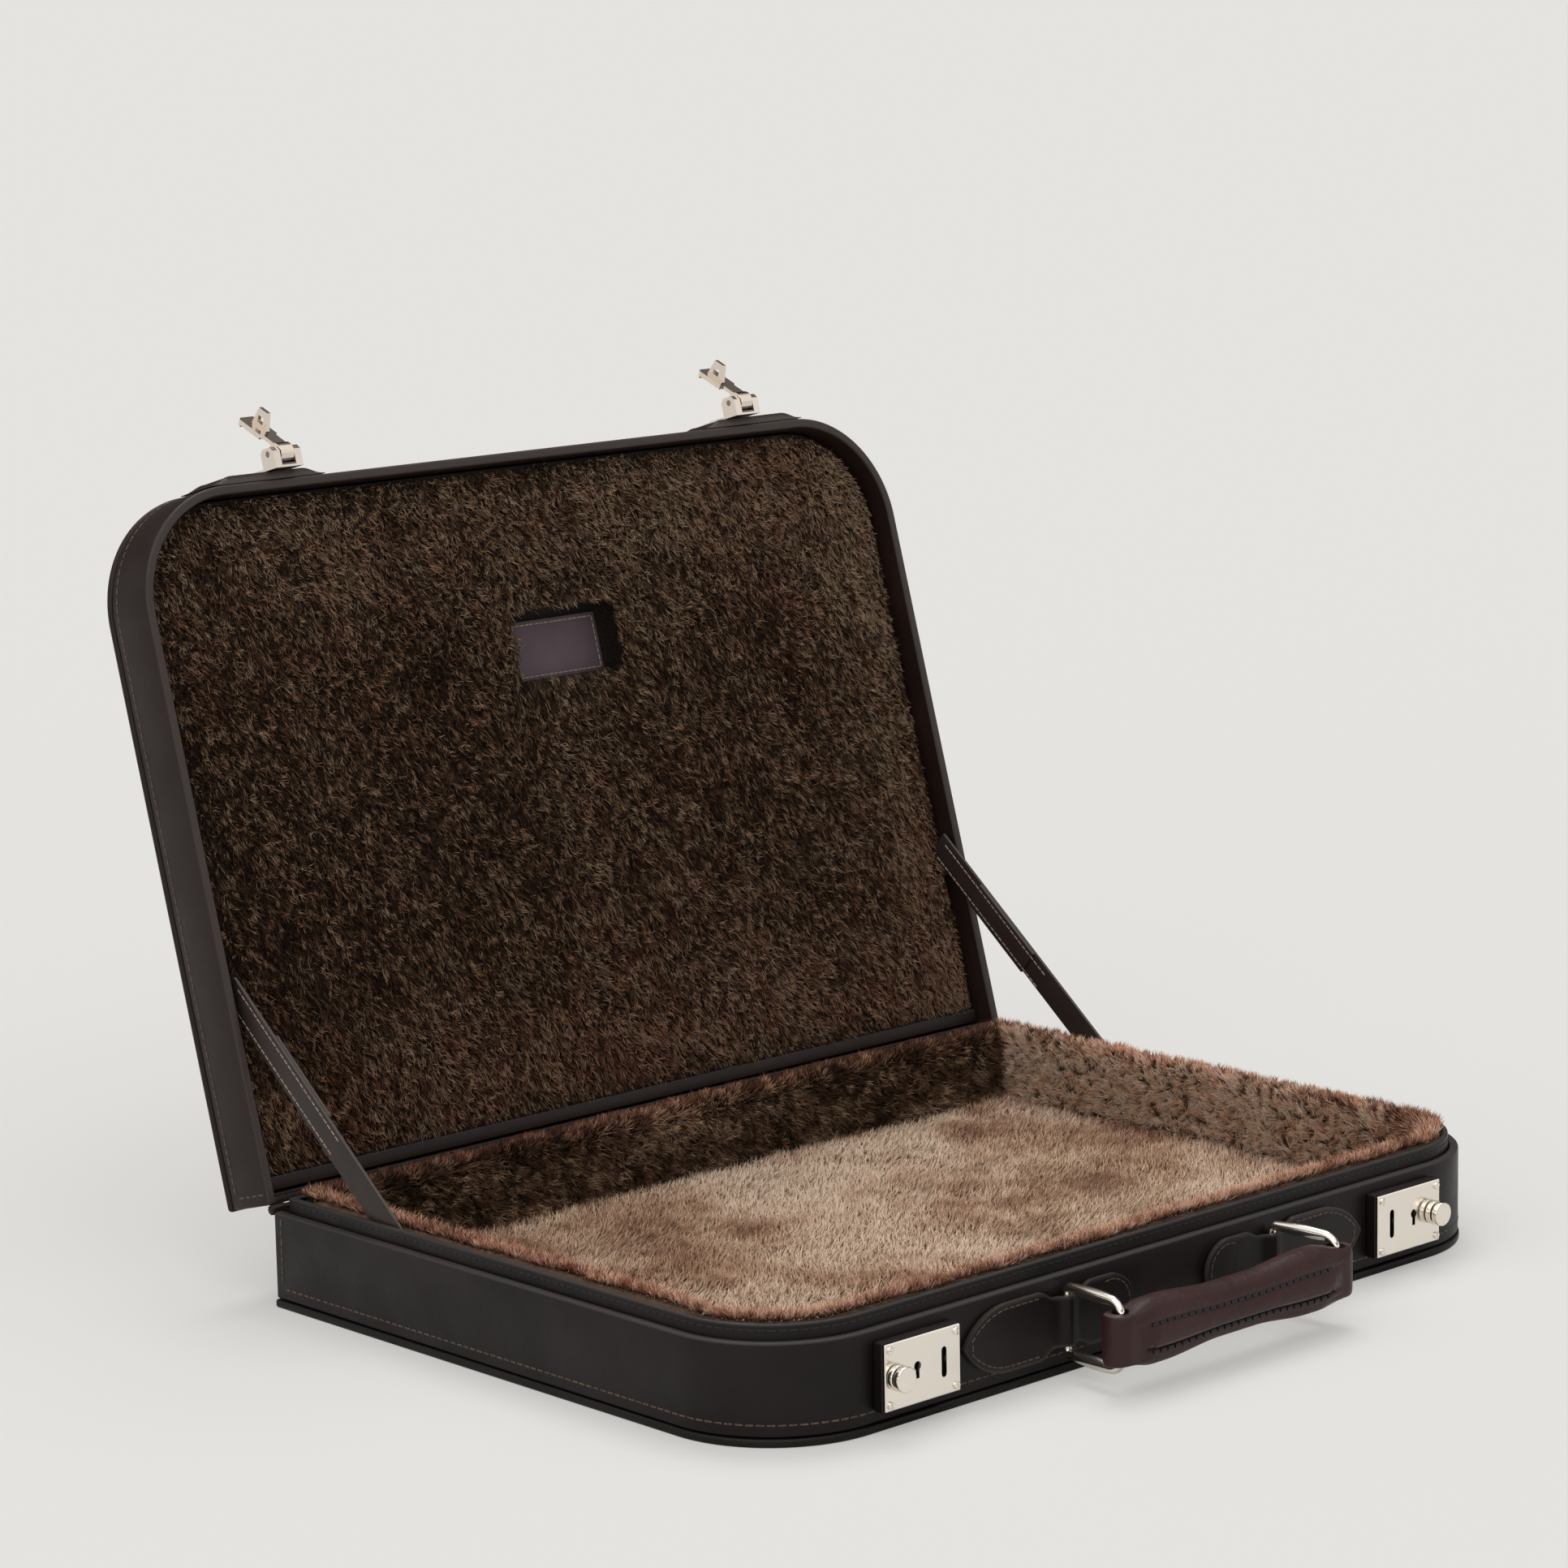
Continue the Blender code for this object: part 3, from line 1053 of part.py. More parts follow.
def make_flap(side, name, lid_pivot):
    """The hasp's flap: knuckle, arm, finger tip with side flanges, and the staple."""
    x = side * HASP_X
    inner_half = HASP_PLATE_WIDTH / 2 - CHEEK_THICK - HASP_SIDE_GAP
    axis_low = (x - inner_half, HASP_PIVOT_Y, HASP_PIVOT_Z)
    axis_high = (x + inner_half, HASP_PIVOT_Y, HASP_PIVOT_Z)
    flap = add_part(f"hasp_flap_{name}", rod_mesh(axis_low, axis_high, HASP_KNUCKLE), NICKEL, smooth=True)
    outer_y = FLAP_FACE_Y - FLAP_THICK
    tip_z = HASP_PIVOT_Z - FLAP_TIP
    head_z = HASP_PIVOT_Z - FLAP_HEAD_START
    arm_half = FLAP_ARM_WIDTH / 2
    head_half = FLAP_HEAD_WIDTH / 2
    shoulder = head_half - arm_half
    outline = [
        (x + arm_half, HASP_PIVOT_Z),
        (x - arm_half, HASP_PIVOT_Z),
        (x - arm_half, head_z + shoulder),
        (x - head_half, head_z),
        (x - head_half, tip_z + shoulder),
        (x - arm_half, tip_z),
        (x + arm_half, tip_z),
        (x + head_half, tip_z + shoulder),
        (x + head_half, head_z),
        (x + arm_half, head_z + shoulder),
    ]
    tools = [combine(flap, front_outline_mesh([outline], FLAP_FACE_Y, outer_y), "UNION")]
    flanges = []
    for edge in (-1.0, 1.0):
        outer = x + edge * head_half
        inner = outer - edge * FLAP_FLANGE_THICK
        low = (min(outer, inner), outer_y - FLAP_FLANGE + FLAP_THICK, tip_z + shoulder)
        high = (max(outer, inner), outer_y + FLAP_THICK / 2, head_z)
        flanges.append(box_mesh(low, high))
    lip_low = (x - arm_half, outer_y - FLAP_FLANGE, tip_z)
    lip_high = (x + arm_half, outer_y + FLAP_THICK / 2, tip_z + FLAP_FLANGE_THICK)
    flanges.append(box_mesh(lip_low, lip_high))
    for mesh in flanges:
        tools.append(combine(flap, mesh, "UNION"))
    staple_x = lock_place(side, SLOT_OFFSET)
    tools.append(combine(flap, staple_mesh(staple_x), "UNION"))
    depth_near = STAPLE_LENGTH * STAPLE_HOLE_NEAR_SHARE
    depth_far = STAPLE_LENGTH * STAPLE_HOLE_FAR_SHARE
    hole_low = (staple_x - STAPLE_THICK, FLAP_FACE_Y + depth_near, LOCK_Z - STAPLE_HOLE_HALF)
    hole_high = (staple_x + STAPLE_THICK, FLAP_FACE_Y + depth_far, LOCK_Z + STAPLE_HOLE_HALF)
    tools.append(combine(flap, box_mesh(hole_low, hole_high), "DIFFERENCE"))
    bore_start = (x - inner_half - OVERRUN, HASP_PIVOT_Y, HASP_PIVOT_Z)
    bore_end = (x + inner_half + OVERRUN, HASP_PIVOT_Y, HASP_PIVOT_Z)
    bore = rod_mesh(bore_start, bore_end, HASP_PIN + HASP_PIN_CLEARANCE, sides=SMALL_SIDES)
    tools.append(combine(flap, bore, "DIFFERENCE"))
    place = Vector((x, HASP_PIVOT_Y, HASP_PIVOT_Z))
    pivot = add_pivot(f"hasp_flap_{name}_axis", place, lid_pivot, HINGE)
    pivot.rotation_euler.x = math.radians(-HASP_OPEN_DEG)
    hang([flap, *tools], pivot, place)


def staple_mesh(x):
    """The upright loop on the flap's inner face, narrower towards its tip."""
    root_y = FLAP_FACE_Y - FLAP_THICK / 2
    tip_y = FLAP_FACE_Y + STAPLE_LENGTH
    outline = [
        (root_y, HASP_PIVOT_Z - STAPLE_ROOT_NEAR),
        (FLAP_FACE_Y, HASP_PIVOT_Z - STAPLE_ROOT_NEAR),
        (tip_y, HASP_PIVOT_Z - STAPLE_TIP_NEAR),
        (tip_y, HASP_PIVOT_Z - STAPLE_TIP_FAR),
        (FLAP_FACE_Y, HASP_PIVOT_Z - STAPLE_ROOT_FAR),
        (root_y, HASP_PIVOT_Z - STAPLE_ROOT_FAR),
    ]
    return side_outline_mesh(outline, x - STAPLE_THICK / 2, x + STAPLE_THICK / 2)


def main():
    """Builds the base, the locks, the handle and the lid, then opens the lid."""
    make_base_shell()
    make_base_fur()
    for side, name in ((-1.0, "left"), (1.0, "right")):
        make_lock_body(side, name)
        for number, (x, z) in enumerate(screw_places(side), 1):
            make_screw(f"lock_screw_{name}_{number}", x, z, PLATE_FRONT_Y, SCREW_HEAD, NICKEL)
        make_lock_works(side, name)
        make_tab(side, name)
    left_pivot, left_place = make_ring(-1.0, "left")
    make_ring(1.0, "right")
    make_grip(left_pivot, left_place)
    make_stays()
    lid_pivot = add_pivot("lid_axis", HINGE)
    lid_pieces = make_lid() + make_hinge()
    for side, name in ((-1.0, "left"), (1.0, "right")):
        lid_pieces += make_hasp_mount(side, name)
        make_flap(side, name, lid_pivot)
    hang(lid_pieces, lid_pivot, HINGE)
    lid_pivot.rotation_euler.x = math.radians(-LID_OPEN_DEG)
    bpy.context.view_layer.update()


main()
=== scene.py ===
import json
import math

import bmesh
import bpy
import numpy as np
from mathutils import Matrix, Vector


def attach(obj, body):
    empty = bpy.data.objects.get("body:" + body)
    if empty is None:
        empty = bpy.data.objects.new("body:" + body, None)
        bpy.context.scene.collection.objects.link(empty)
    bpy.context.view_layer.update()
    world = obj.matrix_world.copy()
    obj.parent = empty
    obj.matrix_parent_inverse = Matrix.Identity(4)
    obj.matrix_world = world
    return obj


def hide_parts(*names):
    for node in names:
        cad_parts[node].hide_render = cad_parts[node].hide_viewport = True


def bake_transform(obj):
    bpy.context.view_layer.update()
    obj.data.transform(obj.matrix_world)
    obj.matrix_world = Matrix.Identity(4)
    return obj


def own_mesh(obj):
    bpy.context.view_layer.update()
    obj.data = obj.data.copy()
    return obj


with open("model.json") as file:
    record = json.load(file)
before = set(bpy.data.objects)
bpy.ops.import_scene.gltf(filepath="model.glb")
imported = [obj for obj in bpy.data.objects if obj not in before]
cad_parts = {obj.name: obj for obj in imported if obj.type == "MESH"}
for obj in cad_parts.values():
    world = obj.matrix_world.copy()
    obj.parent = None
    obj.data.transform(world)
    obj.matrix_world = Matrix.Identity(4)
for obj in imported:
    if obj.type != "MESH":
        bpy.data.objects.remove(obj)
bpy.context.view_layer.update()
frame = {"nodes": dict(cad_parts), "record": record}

# Leather laptop case, open, lined with fur. Metres, +X right seen from the front, -Y front, +Z up
mm = 0.001
case = {
    "width": 0.420, "depth": 0.2905, "corner": 0.0496, "cornerSteps": 26, "wall": 0.004, "board": 0.0034,
    "overhang": 0.0005, "baseTop": 0.0395, "lipTop": 0.0453, "lipInset": 0.0043, "lip": 0.0026,
    "lidRim": 0.0399, "lidTop": 0.0689, "openAngle": 105.6,
}
halfWidth = case["width"] / 2
rearY = case["depth"] / 2
frontY = -rearY
gap = 0.0003
floorZ = case["board"] + gap
lidWallTop = case["lidTop"] - case["board"] - gap
lockHeight = 0.0219
hinge = Vector((0.0, 0.14725, 0.0397))
swing = Matrix.Rotation(math.radians(-case["openAngle"]), 4, "X")
lidTurn = Matrix.Translation(hinge) @ swing @ Matrix.Translation(-hinge)
bothSides = ((-1, "left"), (1, "right"))
furShare = 1.0


# Small helpers

# sRGB hex to the linear colour that shaders take
def hexColour(code):
    parts = [int(code[i:i + 2], 16) / 255 for i in (0, 2, 4)]
    return tuple(p / 12.92 if p <= 0.04045 else ((p + 0.055) / 1.055) ** 2.4 for p in parts) + (1.0,)


# Sets a node's inputs, and links those that are given a socket
def setInputs(tree, node, inputs):
    for key, value in inputs.items():
        if isinstance(value, bpy.types.NodeSocket):
            tree.links.new(value, node.inputs[key])
        else:
            node.inputs[key].default_value = value


# Adds a node with its settings, its inputs and the stops of a ramp
def addNode(tree, kind, inputs=None, stops=None, **settings):
    node = tree.nodes.new("ShaderNode" + kind)
    for key, value in settings.items():
        setattr(node, key, value)
    setInputs(tree, node, inputs or {})
    if stops:
        ramp = node.color_ramp
        while len(ramp.elements) < len(stops):
            ramp.elements.new(0.5)
        for element, (place, code) in zip(ramp.elements, stops):
            element.position = place
            element.color = hexColour(code)
    return node


def newMaterial(name):
    made = bpy.data.materials.new(name)
    made.use_nodes = True
    return made, made.node_tree, made.node_tree.nodes["Principled BSDF"]


def addObject(name, data):
    made = bpy.data.objects.new(name, data)
    bpy.context.scene.collection.objects.link(made)
    return made


def deselect():
    if bpy.context.mode != "OBJECT":
        bpy.ops.object.mode_set(mode="OBJECT")
    bpy.ops.object.select_all(action="DESELECT")


def makeActive(piece):
    deselect()
    piece.select_set(True)
    bpy.context.view_layer.objects.active = piece


# Selects the corners or faces of the mesh in edit mode whose middle passes a test
def pick(kind, test):
    bpy.ops.mesh.select_mode(type=kind)
    bpy.ops.mesh.select_all(action="DESELECT")
    mesh = bmesh.from_edit_mesh(bpy.context.object.data)
    for part in mesh.verts if kind == "VERT" else mesh.faces:
        middle = part.co if kind == "VERT" else sum((v.co for v in part.verts), Vector()) / len(part.verts)
        part.select_set(bool(test(middle)))
    mesh.select_flush_mode()
    bmesh.update_edit_mesh(bpy.context.object.data)


def extrude(move):
    bpy.ops.mesh.extrude_region_move(TRANSFORM_OT_translate={"value": move})


# Turns every face of the mesh in edit mode outwards and leaves edit mode
def faceOutwards():
    bpy.ops.mesh.select_all(action="SELECT")
    bpy.ops.mesh.normals_make_consistent(inside=False)
    bpy.ops.object.mode_set(mode="OBJECT")


# Adds a modifier to the active object and applies it
def useModifier(kind, **settings):
    piece = bpy.context.object
    modifier = piece.modifiers.new(kind.title(), kind)
    for key, value in settings.items():
        setattr(modifier, key, value)
    bpy.ops.object.modifier_apply(modifier=modifier.name)


def roundEdges(width, segments=3, degrees=40):
    angle = math.radians(degrees)
    useModifier("BEVEL", width=width, segments=segments, limit_method="ANGLE", angle_limit=angle)


def cutWith(piece, cutter):
    makeActive(piece)
    useModifier("BOOLEAN", object=cutter, operation="DIFFERENCE")
    bpy.data.objects.remove(cutter)


def makeBlock(low, high, edge=0.0):
    deselect()
    bpy.ops.mesh.primitive_cube_add(size=1, enter_editmode=True, location=(0, 0, 0))
    bpy.ops.transform.resize(value=Vector(high) - Vector(low), center_override=(0, 0, 0))
    bpy.ops.transform.translate(value=(Vector(high) + Vector(low)) / 2)
    bpy.ops.object.mode_set(mode="OBJECT")
    if edge:
        roundEdges(edge)
    return bpy.context.object


# The corners of a mesh, one row each
def cornersOf(mesh):
    places = np.empty(len(mesh.vertices) * 3)
    mesh.vertices.foreach_get("co", places)
    return places.reshape(-1, 3)


# Moves every corner of a piece by a function of its place
def reshape(piece, change):
    places = np.stack(change(*cornersOf(piece.data).T), 1)
    piece.data.vertices.foreach_set("co", places.ravel())
    piece.data.update()


# Stores how near a corner is to a lighter edge, 0 to 1, for the leather's colour: partly burnished leather,
# partly a painted highlight on edges that catch the light
def markEdge(piece, test):
    marks = np.clip(test(*cornersOf(piece.data).T), 0, 1).astype(np.float32)
    piece.data.attributes.new("burnish", "FLOAT", "POINT").data.foreach_set("value", marks)


# Names a finished piece, gives it its material and makes it ride on its body
def finish(piece, name, material, body, replaced=(), turn=None, smooth=35, ride=True):
    makeActive(piece)
    bpy.ops.object.transform_apply(location=True, rotation=True, scale=True)
    if turn is not None:
        piece.data.transform(turn)
    piece.name = name
    piece.data.name = name
    piece.data.materials.clear()
    piece.data.materials.append(material)
    if smooth is not None:
        bpy.ops.object.shade_smooth_by_angle(angle=math.radians(smooth))
    if ride:
        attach(piece, body)
    if replaced:
        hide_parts(*replaced)
    return piece


def finishPad(piece, name, material, body, replaced, turn=None):
    finish(piece, name, material, body, replaced, turn)


# The box of a CAD node in the place where it was modelled, before its turn
def nodeBox(name, turn=None):
    undo = turn.inverted() if turn is not None else Matrix.Identity(4)
    node = frame["nodes"][name]
    spots = [undo @ (node.matrix_world @ v.co) for v in node.data.vertices]
    return tuple(Vector([pickEnd(p[i] for p in spots) for i in range(3)]) for pickEnd in (min, max))


def ease(value):
    value = np.clip(value, 0, 1)
    return value * value * (3 - 2 * value)


# 1 at a value, falling to nothing on both sides of it
def bell(value, middle, width):
    return np.exp(-(((value - middle) / width) ** 2))


# A seeded grid of random values, smoothed between its points, for patches of tone
def softNoise(x, y, cell, seed):
    size = 97
    lattice = np.random.default_rng(seed).random((size, size))
    gx, gy = x / cell + 500.0, y / cell + 500.0
    ix, iy = np.floor(gx).astype(int), np.floor(gy).astype(int)
    fx, fy = gx - ix, gy - iy
    fx, fy = fx * fx * (3 - 2 * fx), fy * fy * (3 - 2 * fy)
    a, b = lattice[ix % size, iy % size], lattice[(ix + 1) % size, iy % size]
    c, d = lattice[ix % size, (iy + 1) % size], lattice[(ix + 1) % size, (iy + 1) % size]
    return (a * (1 - fx) + b * fx) * (1 - fy) + (c * (1 - fx) + d * fx) * fy


# Patches of several sizes together, each with its cell in millimetres and its share
def patchwork(x, y, seed, layers):
    return sum(share * softNoise(x, y, cell * mm, seed + i) for i, (cell, share) in enumerate(layers))


# Materials

leatherLook = {
    "dark": "100a09", "light": "1a1211", "cloud": 0.045, "rub": 0.02, "rough": (0.38, 0.51),
    "gloss": 0.24, "pore": 0.0009, "poreDepth": 0.10, "crease": 0.006, "creaseDepth": 0.10,
    "edge": "857c78", "burnish": 0.16,
}


# Vegetable-tanned cowhide, waxed: nearly black brown, faint pores, soft broad gloss.
# Pores lie about 0.9 mm apart, creases a few millimetres
def makeLeather(name, **changes):
    look = {**leatherLook, **changes}
    made, tree, shader = newMaterial(name)
    place = addNode(tree, "TexCoord").outputs["Object"]
    clouds = addNode(tree, "TexNoise", {
        "Vector": place, "Scale": 1 / look["cloud"], "Detail": 4.0, "Roughness": 0.6,
    })
    stops = [(0.3, look["dark"]), (0.72, look["light"])]
    tint = addNode(tree, "ValToRGB", {"Fac": clouds.outputs["Fac"]}, stops)
    rubbed = addNode(tree, "TexNoise", {"Vector": place, "Scale": 1 / look["rub"], "Detail": 3.0})
    dull = addNode(tree, "MapRange", {
        "Value": rubbed.outputs["Fac"], "From Min": 0.3, "From Max": 0.7,
        "To Min": look["rough"][0], "To Max": look["rough"][1],
    })
    pores = addNode(tree, "TexVoronoi", {"Vector": place, "Scale": 1 / look["pore"], "Randomness": 1.0})
    poreBump = addNode(tree, "Bump", {
        "Height": pores.outputs["Distance"], "Strength": look["poreDepth"], "Distance": 0.25 * mm,
    })
    creases = addNode(tree, "TexNoise", {
        "Vector": place, "Scale": 1 / look["crease"], "Detail": 5.0, "Distortion": 0.6,
    })
    creaseBump = addNode(tree, "Bump", {
        "Height": creases.outputs["Fac"], "Strength": look["creaseDepth"], "Distance": 1.2 * mm,
        "Normal": poreBump.outputs["Normal"],
    })
    # Marked edges turn towards the pale edge colour: burnished leather, and painted highlights where edges
    # catch the light
    mark = addNode(tree, "Attribute", attribute_name="burnish").outputs["Fac"]
    share = addNode(tree, "Math", {0: mark, 1: look["burnish"]}, operation="MULTIPLY").outputs["Value"]
    edgeInputs = {"Factor": share, 6: tint.outputs["Color"], 7: hexColour(look["edge"])}
    edged = addNode(tree, "Mix", edgeInputs, data_type="RGBA")
    setInputs(tree, shader, {
        "Base Color": edged.outputs[2], "Roughness": dull.outputs["Result"],
        "Normal": creaseBump.outputs["Normal"], "Specular IOR Level": look["gloss"],
    })
    return made


# Nickel plate on brass, polished: warm white with faint hairline scratches
def makeNickel(name, code, rough, scratch):
    made, tree, shader = newMaterial(name)
    place = addNode(tree, "TexCoord").outputs["Object"]
    stretched = addNode(tree, "Mapping", {"Vector": place, "Scale": (60.0, 60.0, 1500.0)}).outputs["Vector"]
    lines = addNode(tree, "TexNoise", {"Vector": stretched, "Scale": 1.0, "Detail": 3.0}).outputs["Fac"]
    worn = addNode(tree, "MapRange", {
        "Value": lines, "From Min": 0.3, "From Max": 0.75, "To Min": rough, "To Max": rough + scratch,
    })
    bump = addNode(tree, "Bump", {"Height": lines, "Strength": 0.06, "Distance": 0.05 * mm})
    setInputs(tree, shader, {
        "Base Color": hexColour(code), "Metallic": 1.0, "Roughness": worn.outputs["Result"],
        "Normal": bump.outputs["Normal"],
    })
    return made


# Waxed linen thread: twisted, a little lighter than the leather
def makeThread(name, dark, light):
    made, tree, shader = newMaterial(name)
    place = addNode(tree, "TexCoord").outputs["Object"]
    speckle = addNode(tree, "TexNoise", {"Vector": place, "Scale": 900.0, "Detail": 2.0}).outputs["Fac"]
    tint = addNode(tree, "ValToRGB", {"Fac": speckle}, [(0.35, dark), (0.65, light)])
    bump = addNode(tree, "Bump", {"Height": speckle, "Strength": 0.5, "Distance": 0.1 * mm})
    setInputs(tree, shader, {
        "Base Color": tint.outputs["Color"], "Normal": bump.outputs["Normal"], "Roughness": 0.6,
    })
    return made


# Sheepskin pile: each hair's colour is stored on it, with a soft sheen
def makeFur(name, sheen, gloss=0.12, tint="cf9f80"):
    made, tree, shader = newMaterial(name)
    colour = addNode(tree, "VertexColor", layer_name="hairColour")
    place = addNode(tree, "TexCoord").outputs["Object"]
    dust = addNode(tree, "TexNoise", {"Vector": place, "Scale": 260.0, "Detail": 2.0})
    rough = addNode(tree, "MapRange", {"Value": dust.outputs["Fac"], "To Min": 0.45, "To Max": 0.8})
    setInputs(tree, shader, {
        "Base Color": colour.outputs["Color"], "Roughness": rough.outputs["Result"],
        "Specular IOR Level": gloss, "Sheen Weight": sheen, "Sheen Roughness": 0.4,
        "Sheen Tint": hexColour(tint),
    })
    return made


# Felt under the hairs, which shows only between them: rough, with fluff in two tones of its colour
def makeBacking(name, code, shade=0.6):
    made, tree, shader = newMaterial(name)
    place = addNode(tree, "TexCoord").outputs["Object"]
    fluff = addNode(tree, "TexNoise", {"Vector": place, "Scale": 700.0, "Detail": 4.0}).outputs["Fac"]
    light = hexColour(code)
    dark = tuple(c * shade for c in light[:3]) + (1,)
    tint = addNode(tree, "Mix", {"Factor": fluff, 6: dark, 7: light}, data_type="RGBA")
    bump = addNode(tree, "Bump", {"Height": fluff, "Strength": 0.8, "Distance": 1 * mm})
    setInputs(tree, shader, {
        "Base Color": tint.outputs[2], "Normal": bump.outputs["Normal"], "Roughness": 0.95,
    })
    return made


shellLeather = makeLeather("waxedCowhide")
lidLeather = makeLeather("waxedCowhideLid", dark="1b100e", light="271915", burnish=0.30)
gripLeather = makeLeather(
    "calfskinGrip", dark="2e1b1a", light="3e2625", rough=(0.36, 0.49), crease=0.004, creaseDepth=0.3,
    burnish=0.4,
)
labelLeather = makeLeather("calfskinLabel", dark="483c41", light="5e5056", rough=(0.44, 0.57))
nickel = makeNickel("polishedNickel", "efe8dd", 0.12, 0.10)
haspNickel = makeNickel("castNickel", "e3d7ca", 0.09, 0.04)
darkSteel = makeNickel("plainSteel", "8d8a84", 0.3, 0.15)
threadBrown = makeThread("linenThreadBrown", "3a2b21", "645041")
threadPale = makeThread("linenThreadPale", "7d6d62", "a8978a")
threadDark = makeThread("linenThreadDark", "080505", "150d0c")
floorFur = makeFur("taupeSheepskin", 0.14)
darkFur = makeFur("brownSheepskin", 0.08)
curlFur = makeFur("curledLambskin", 0.45, 0.25, "efc4a2")
darkBacking = makeBacking("darkPileBacking", "1d1511")
# The taupe felt is made pale: painted light that thins the shade in the gaps between the hairs
taupeBacking = makeBacking("taupePileBacking", "806450")
print("materials made")


# Leather shell

shell = {"rimEdge": 0.0011, "lipEdge": 0.0010, "lidBoardEdge": 0.0016, "boardEdge": 0.0011}


# A flat face with the outline of the case, square behind and round in front, moved in by an inset
def caseSheet(inset, height):
    deselect()
    bpy.ops.mesh.primitive_plane_add(size=1, enter_editmode=True, location=(0, 0, 0))
    size = (case["width"] - 2 * inset, case["depth"] - 2 * inset, 1)
    bpy.ops.transform.resize(value=size, center_override=(0, 0, 0))
    bpy.ops.transform.translate(value=(0, 0, height))
    pick("VERT", lambda p: p.y < 0)
    bpy.ops.mesh.bevel(offset=case["corner"] - inset, segments=case["cornerSteps"], affect="VERTICES")
    bpy.ops.mesh.select_all(action="SELECT")


def makeBoard(low, high, edge, inset=-case["overhang"]):
    caseSheet(inset, low)
    extrude((0, 0, high - low))
    faceOutwards()
    roundEdges(edge, 4)
    return bpy.context.object


def makeWallRing(inset, thick, low, high, edge):
    caseSheet(inset, low)
    bpy.ops.mesh.delete(type="ONLY_FACE")
    bpy.ops.mesh.select_all(action="SELECT")
    bpy.ops.mesh.extrude_edges_move(TRANSFORM_OT_translate={"value": (0, 0, high - low)})
    faceOutwards()
    useModifier("SOLIDIFY", thickness=thick, offset=-1, use_even_offset=True)
    roundEdges(edge)
    return bpy.context.object


baseBoard = makeBoard(0, case["board"], shell["boardEdge"])
finish(baseBoard, "baseBoard", shellLeather, "base", ["base_bottom"])
# The top edges of the wall, the lip and the lid's wall are painted lighter: painted highlights along the rims
wall = makeWallRing(0, case["wall"], floorZ, case["baseTop"], shell["rimEdge"])
markEdge(wall, lambda x, y, z: (z - case["baseTop"] + shell["rimEdge"]) / (0.5 * mm))
finish(wall, "baseWall", shellLeather, "base", ["base_wall"])
lip = makeWallRing(case["lipInset"], case["lip"], floorZ, case["lipTop"], shell["lipEdge"])
markEdge(lip, lambda x, y, z: 1.4 * (z - case["lipTop"] + shell["lipEdge"]) / shell["lipEdge"])
finish(lip, "baseLip", shellLeather, "base", ["base_lip"])
lidWall = makeWallRing(0, case["wall"], case["lidRim"], lidWallTop, shell["rimEdge"])
markEdge(lidWall, lambda x, y, z: 0.6 * (case["lidRim"] + shell["rimEdge"] - z) / shell["rimEdge"])
finish(lidWall, "lidWall", lidLeather, "lid", ["lid_wall"], lidTurn)
lidBoard = makeBoard(case["lidTop"] - case["board"], case["lidTop"], shell["lidBoardEdge"])
finish(lidBoard, "lidBoard", lidLeather, "lid", ["lid_panel"], lidTurn)
print("leather shell made")


# Stitches

stitch = {"long": 0.0030, "pitch": 0.0040, "wide": 0.0009, "lift": 0.000135, "flat": 0.7, "dip": 0.25}


# One stitch: a short fat thread, squashed and dipping at its ends
def modelStitch(length, width):
    deselect()
    bpy.ops.mesh.primitive_cylinder_add(
        vertices=6, radius=width / 2, depth=length, rotation=(0, math.radians(90), 0), enter_editmode=True
    )
    pick("FACE", lambda p: abs(p.z) > length * 0.49)
    bpy.ops.mesh.inset(thickness=width * 0.15)
    bpy.ops.object.mode_set(mode="OBJECT")
    bpy.ops.object.transform_apply(location=True, rotation=True, scale=True)
    single = bpy.context.object.data
    places = cornersOf(single)
    places[:, 2] *= stitch["flat"]
    places[:, 2] -= (np.abs(places[:, 0]) / (length / 2)) ** 2 * width * stitch["dip"]
    faces = [tuple(p.vertices) for p in single.polygons]
    bpy.data.objects.remove(bpy.context.object)
    return places, faces


# Points every pitch along a line, with the line's direction there
def alongLine(points, pitch):
    line = np.array(points, float)
    steps = np.linalg.norm(np.diff(line, axis=0), axis=1)
    run = np.concatenate([[0], np.cumsum(steps)])
    count = max(int(round(run[-1] / pitch)), 1)
    at = (np.arange(count) + 0.5) * run[-1] / count
    spots = np.stack([np.interp(at, run, line[:, i]) for i in range(3)], 1)
    index = np.clip(np.searchsorted(run, at) - 1, 0, len(steps) - 1)
    heads = np.diff(line, axis=0)[index] / steps[index][:, None]
    return spots, heads


# A seam: one stitch copied along its lines. outward gives the surface's direction at each place
def makeSeam(name, lines, outward, material, body, turn=None, size=1.0, fat=1.0, ride=True):
    places, faces = modelStitch(stitch["long"] * size, stitch["wide"] * size * fat)
    verts, polys = [], []
    for line in lines:
        for spot, head in zip(*alongLine(line, stitch["pitch"] * size)):
            up = np.array(outward(spot), float)
            side = np.cross(up, head)
            side /= np.linalg.norm(side)
            top = np.cross(head, side)
            start = len(verts) * len(places)
            raised = places + np.array([0, 0, stitch["lift"]])
            verts.append(spot + raised @ np.array([head, side, top]))
            polys += [tuple(i + start for i in face) for face in faces]
    mesh = bpy.data.meshes.new(name)
    mesh.from_pydata(np.concatenate(verts).tolist(), [], polys)
    return finish(addObject(name, mesh), name, material, body, turn=turn, smooth=50, ride=ride)


# The case's outline as points at one height, from one rear corner round the front to the other
def outlineLine(inset, height, margin=0.0, steps=16):
    halfX, halfY = halfWidth - inset, rearY - inset
    radius = case["corner"] - inset
    points = [(-halfX, halfY - margin, height)]
    for centreX, first in ((radius - halfX, 180), (halfX - radius, 270)):
        for step in range(steps + 1):
            angle = math.radians(first + 90 * step / steps)
            x, y = centreX + radius * math.cos(angle), radius - halfY + radius * math.sin(angle)
            points.append((x, y, height))
    points.append((halfX, halfY - margin, height))
    return points


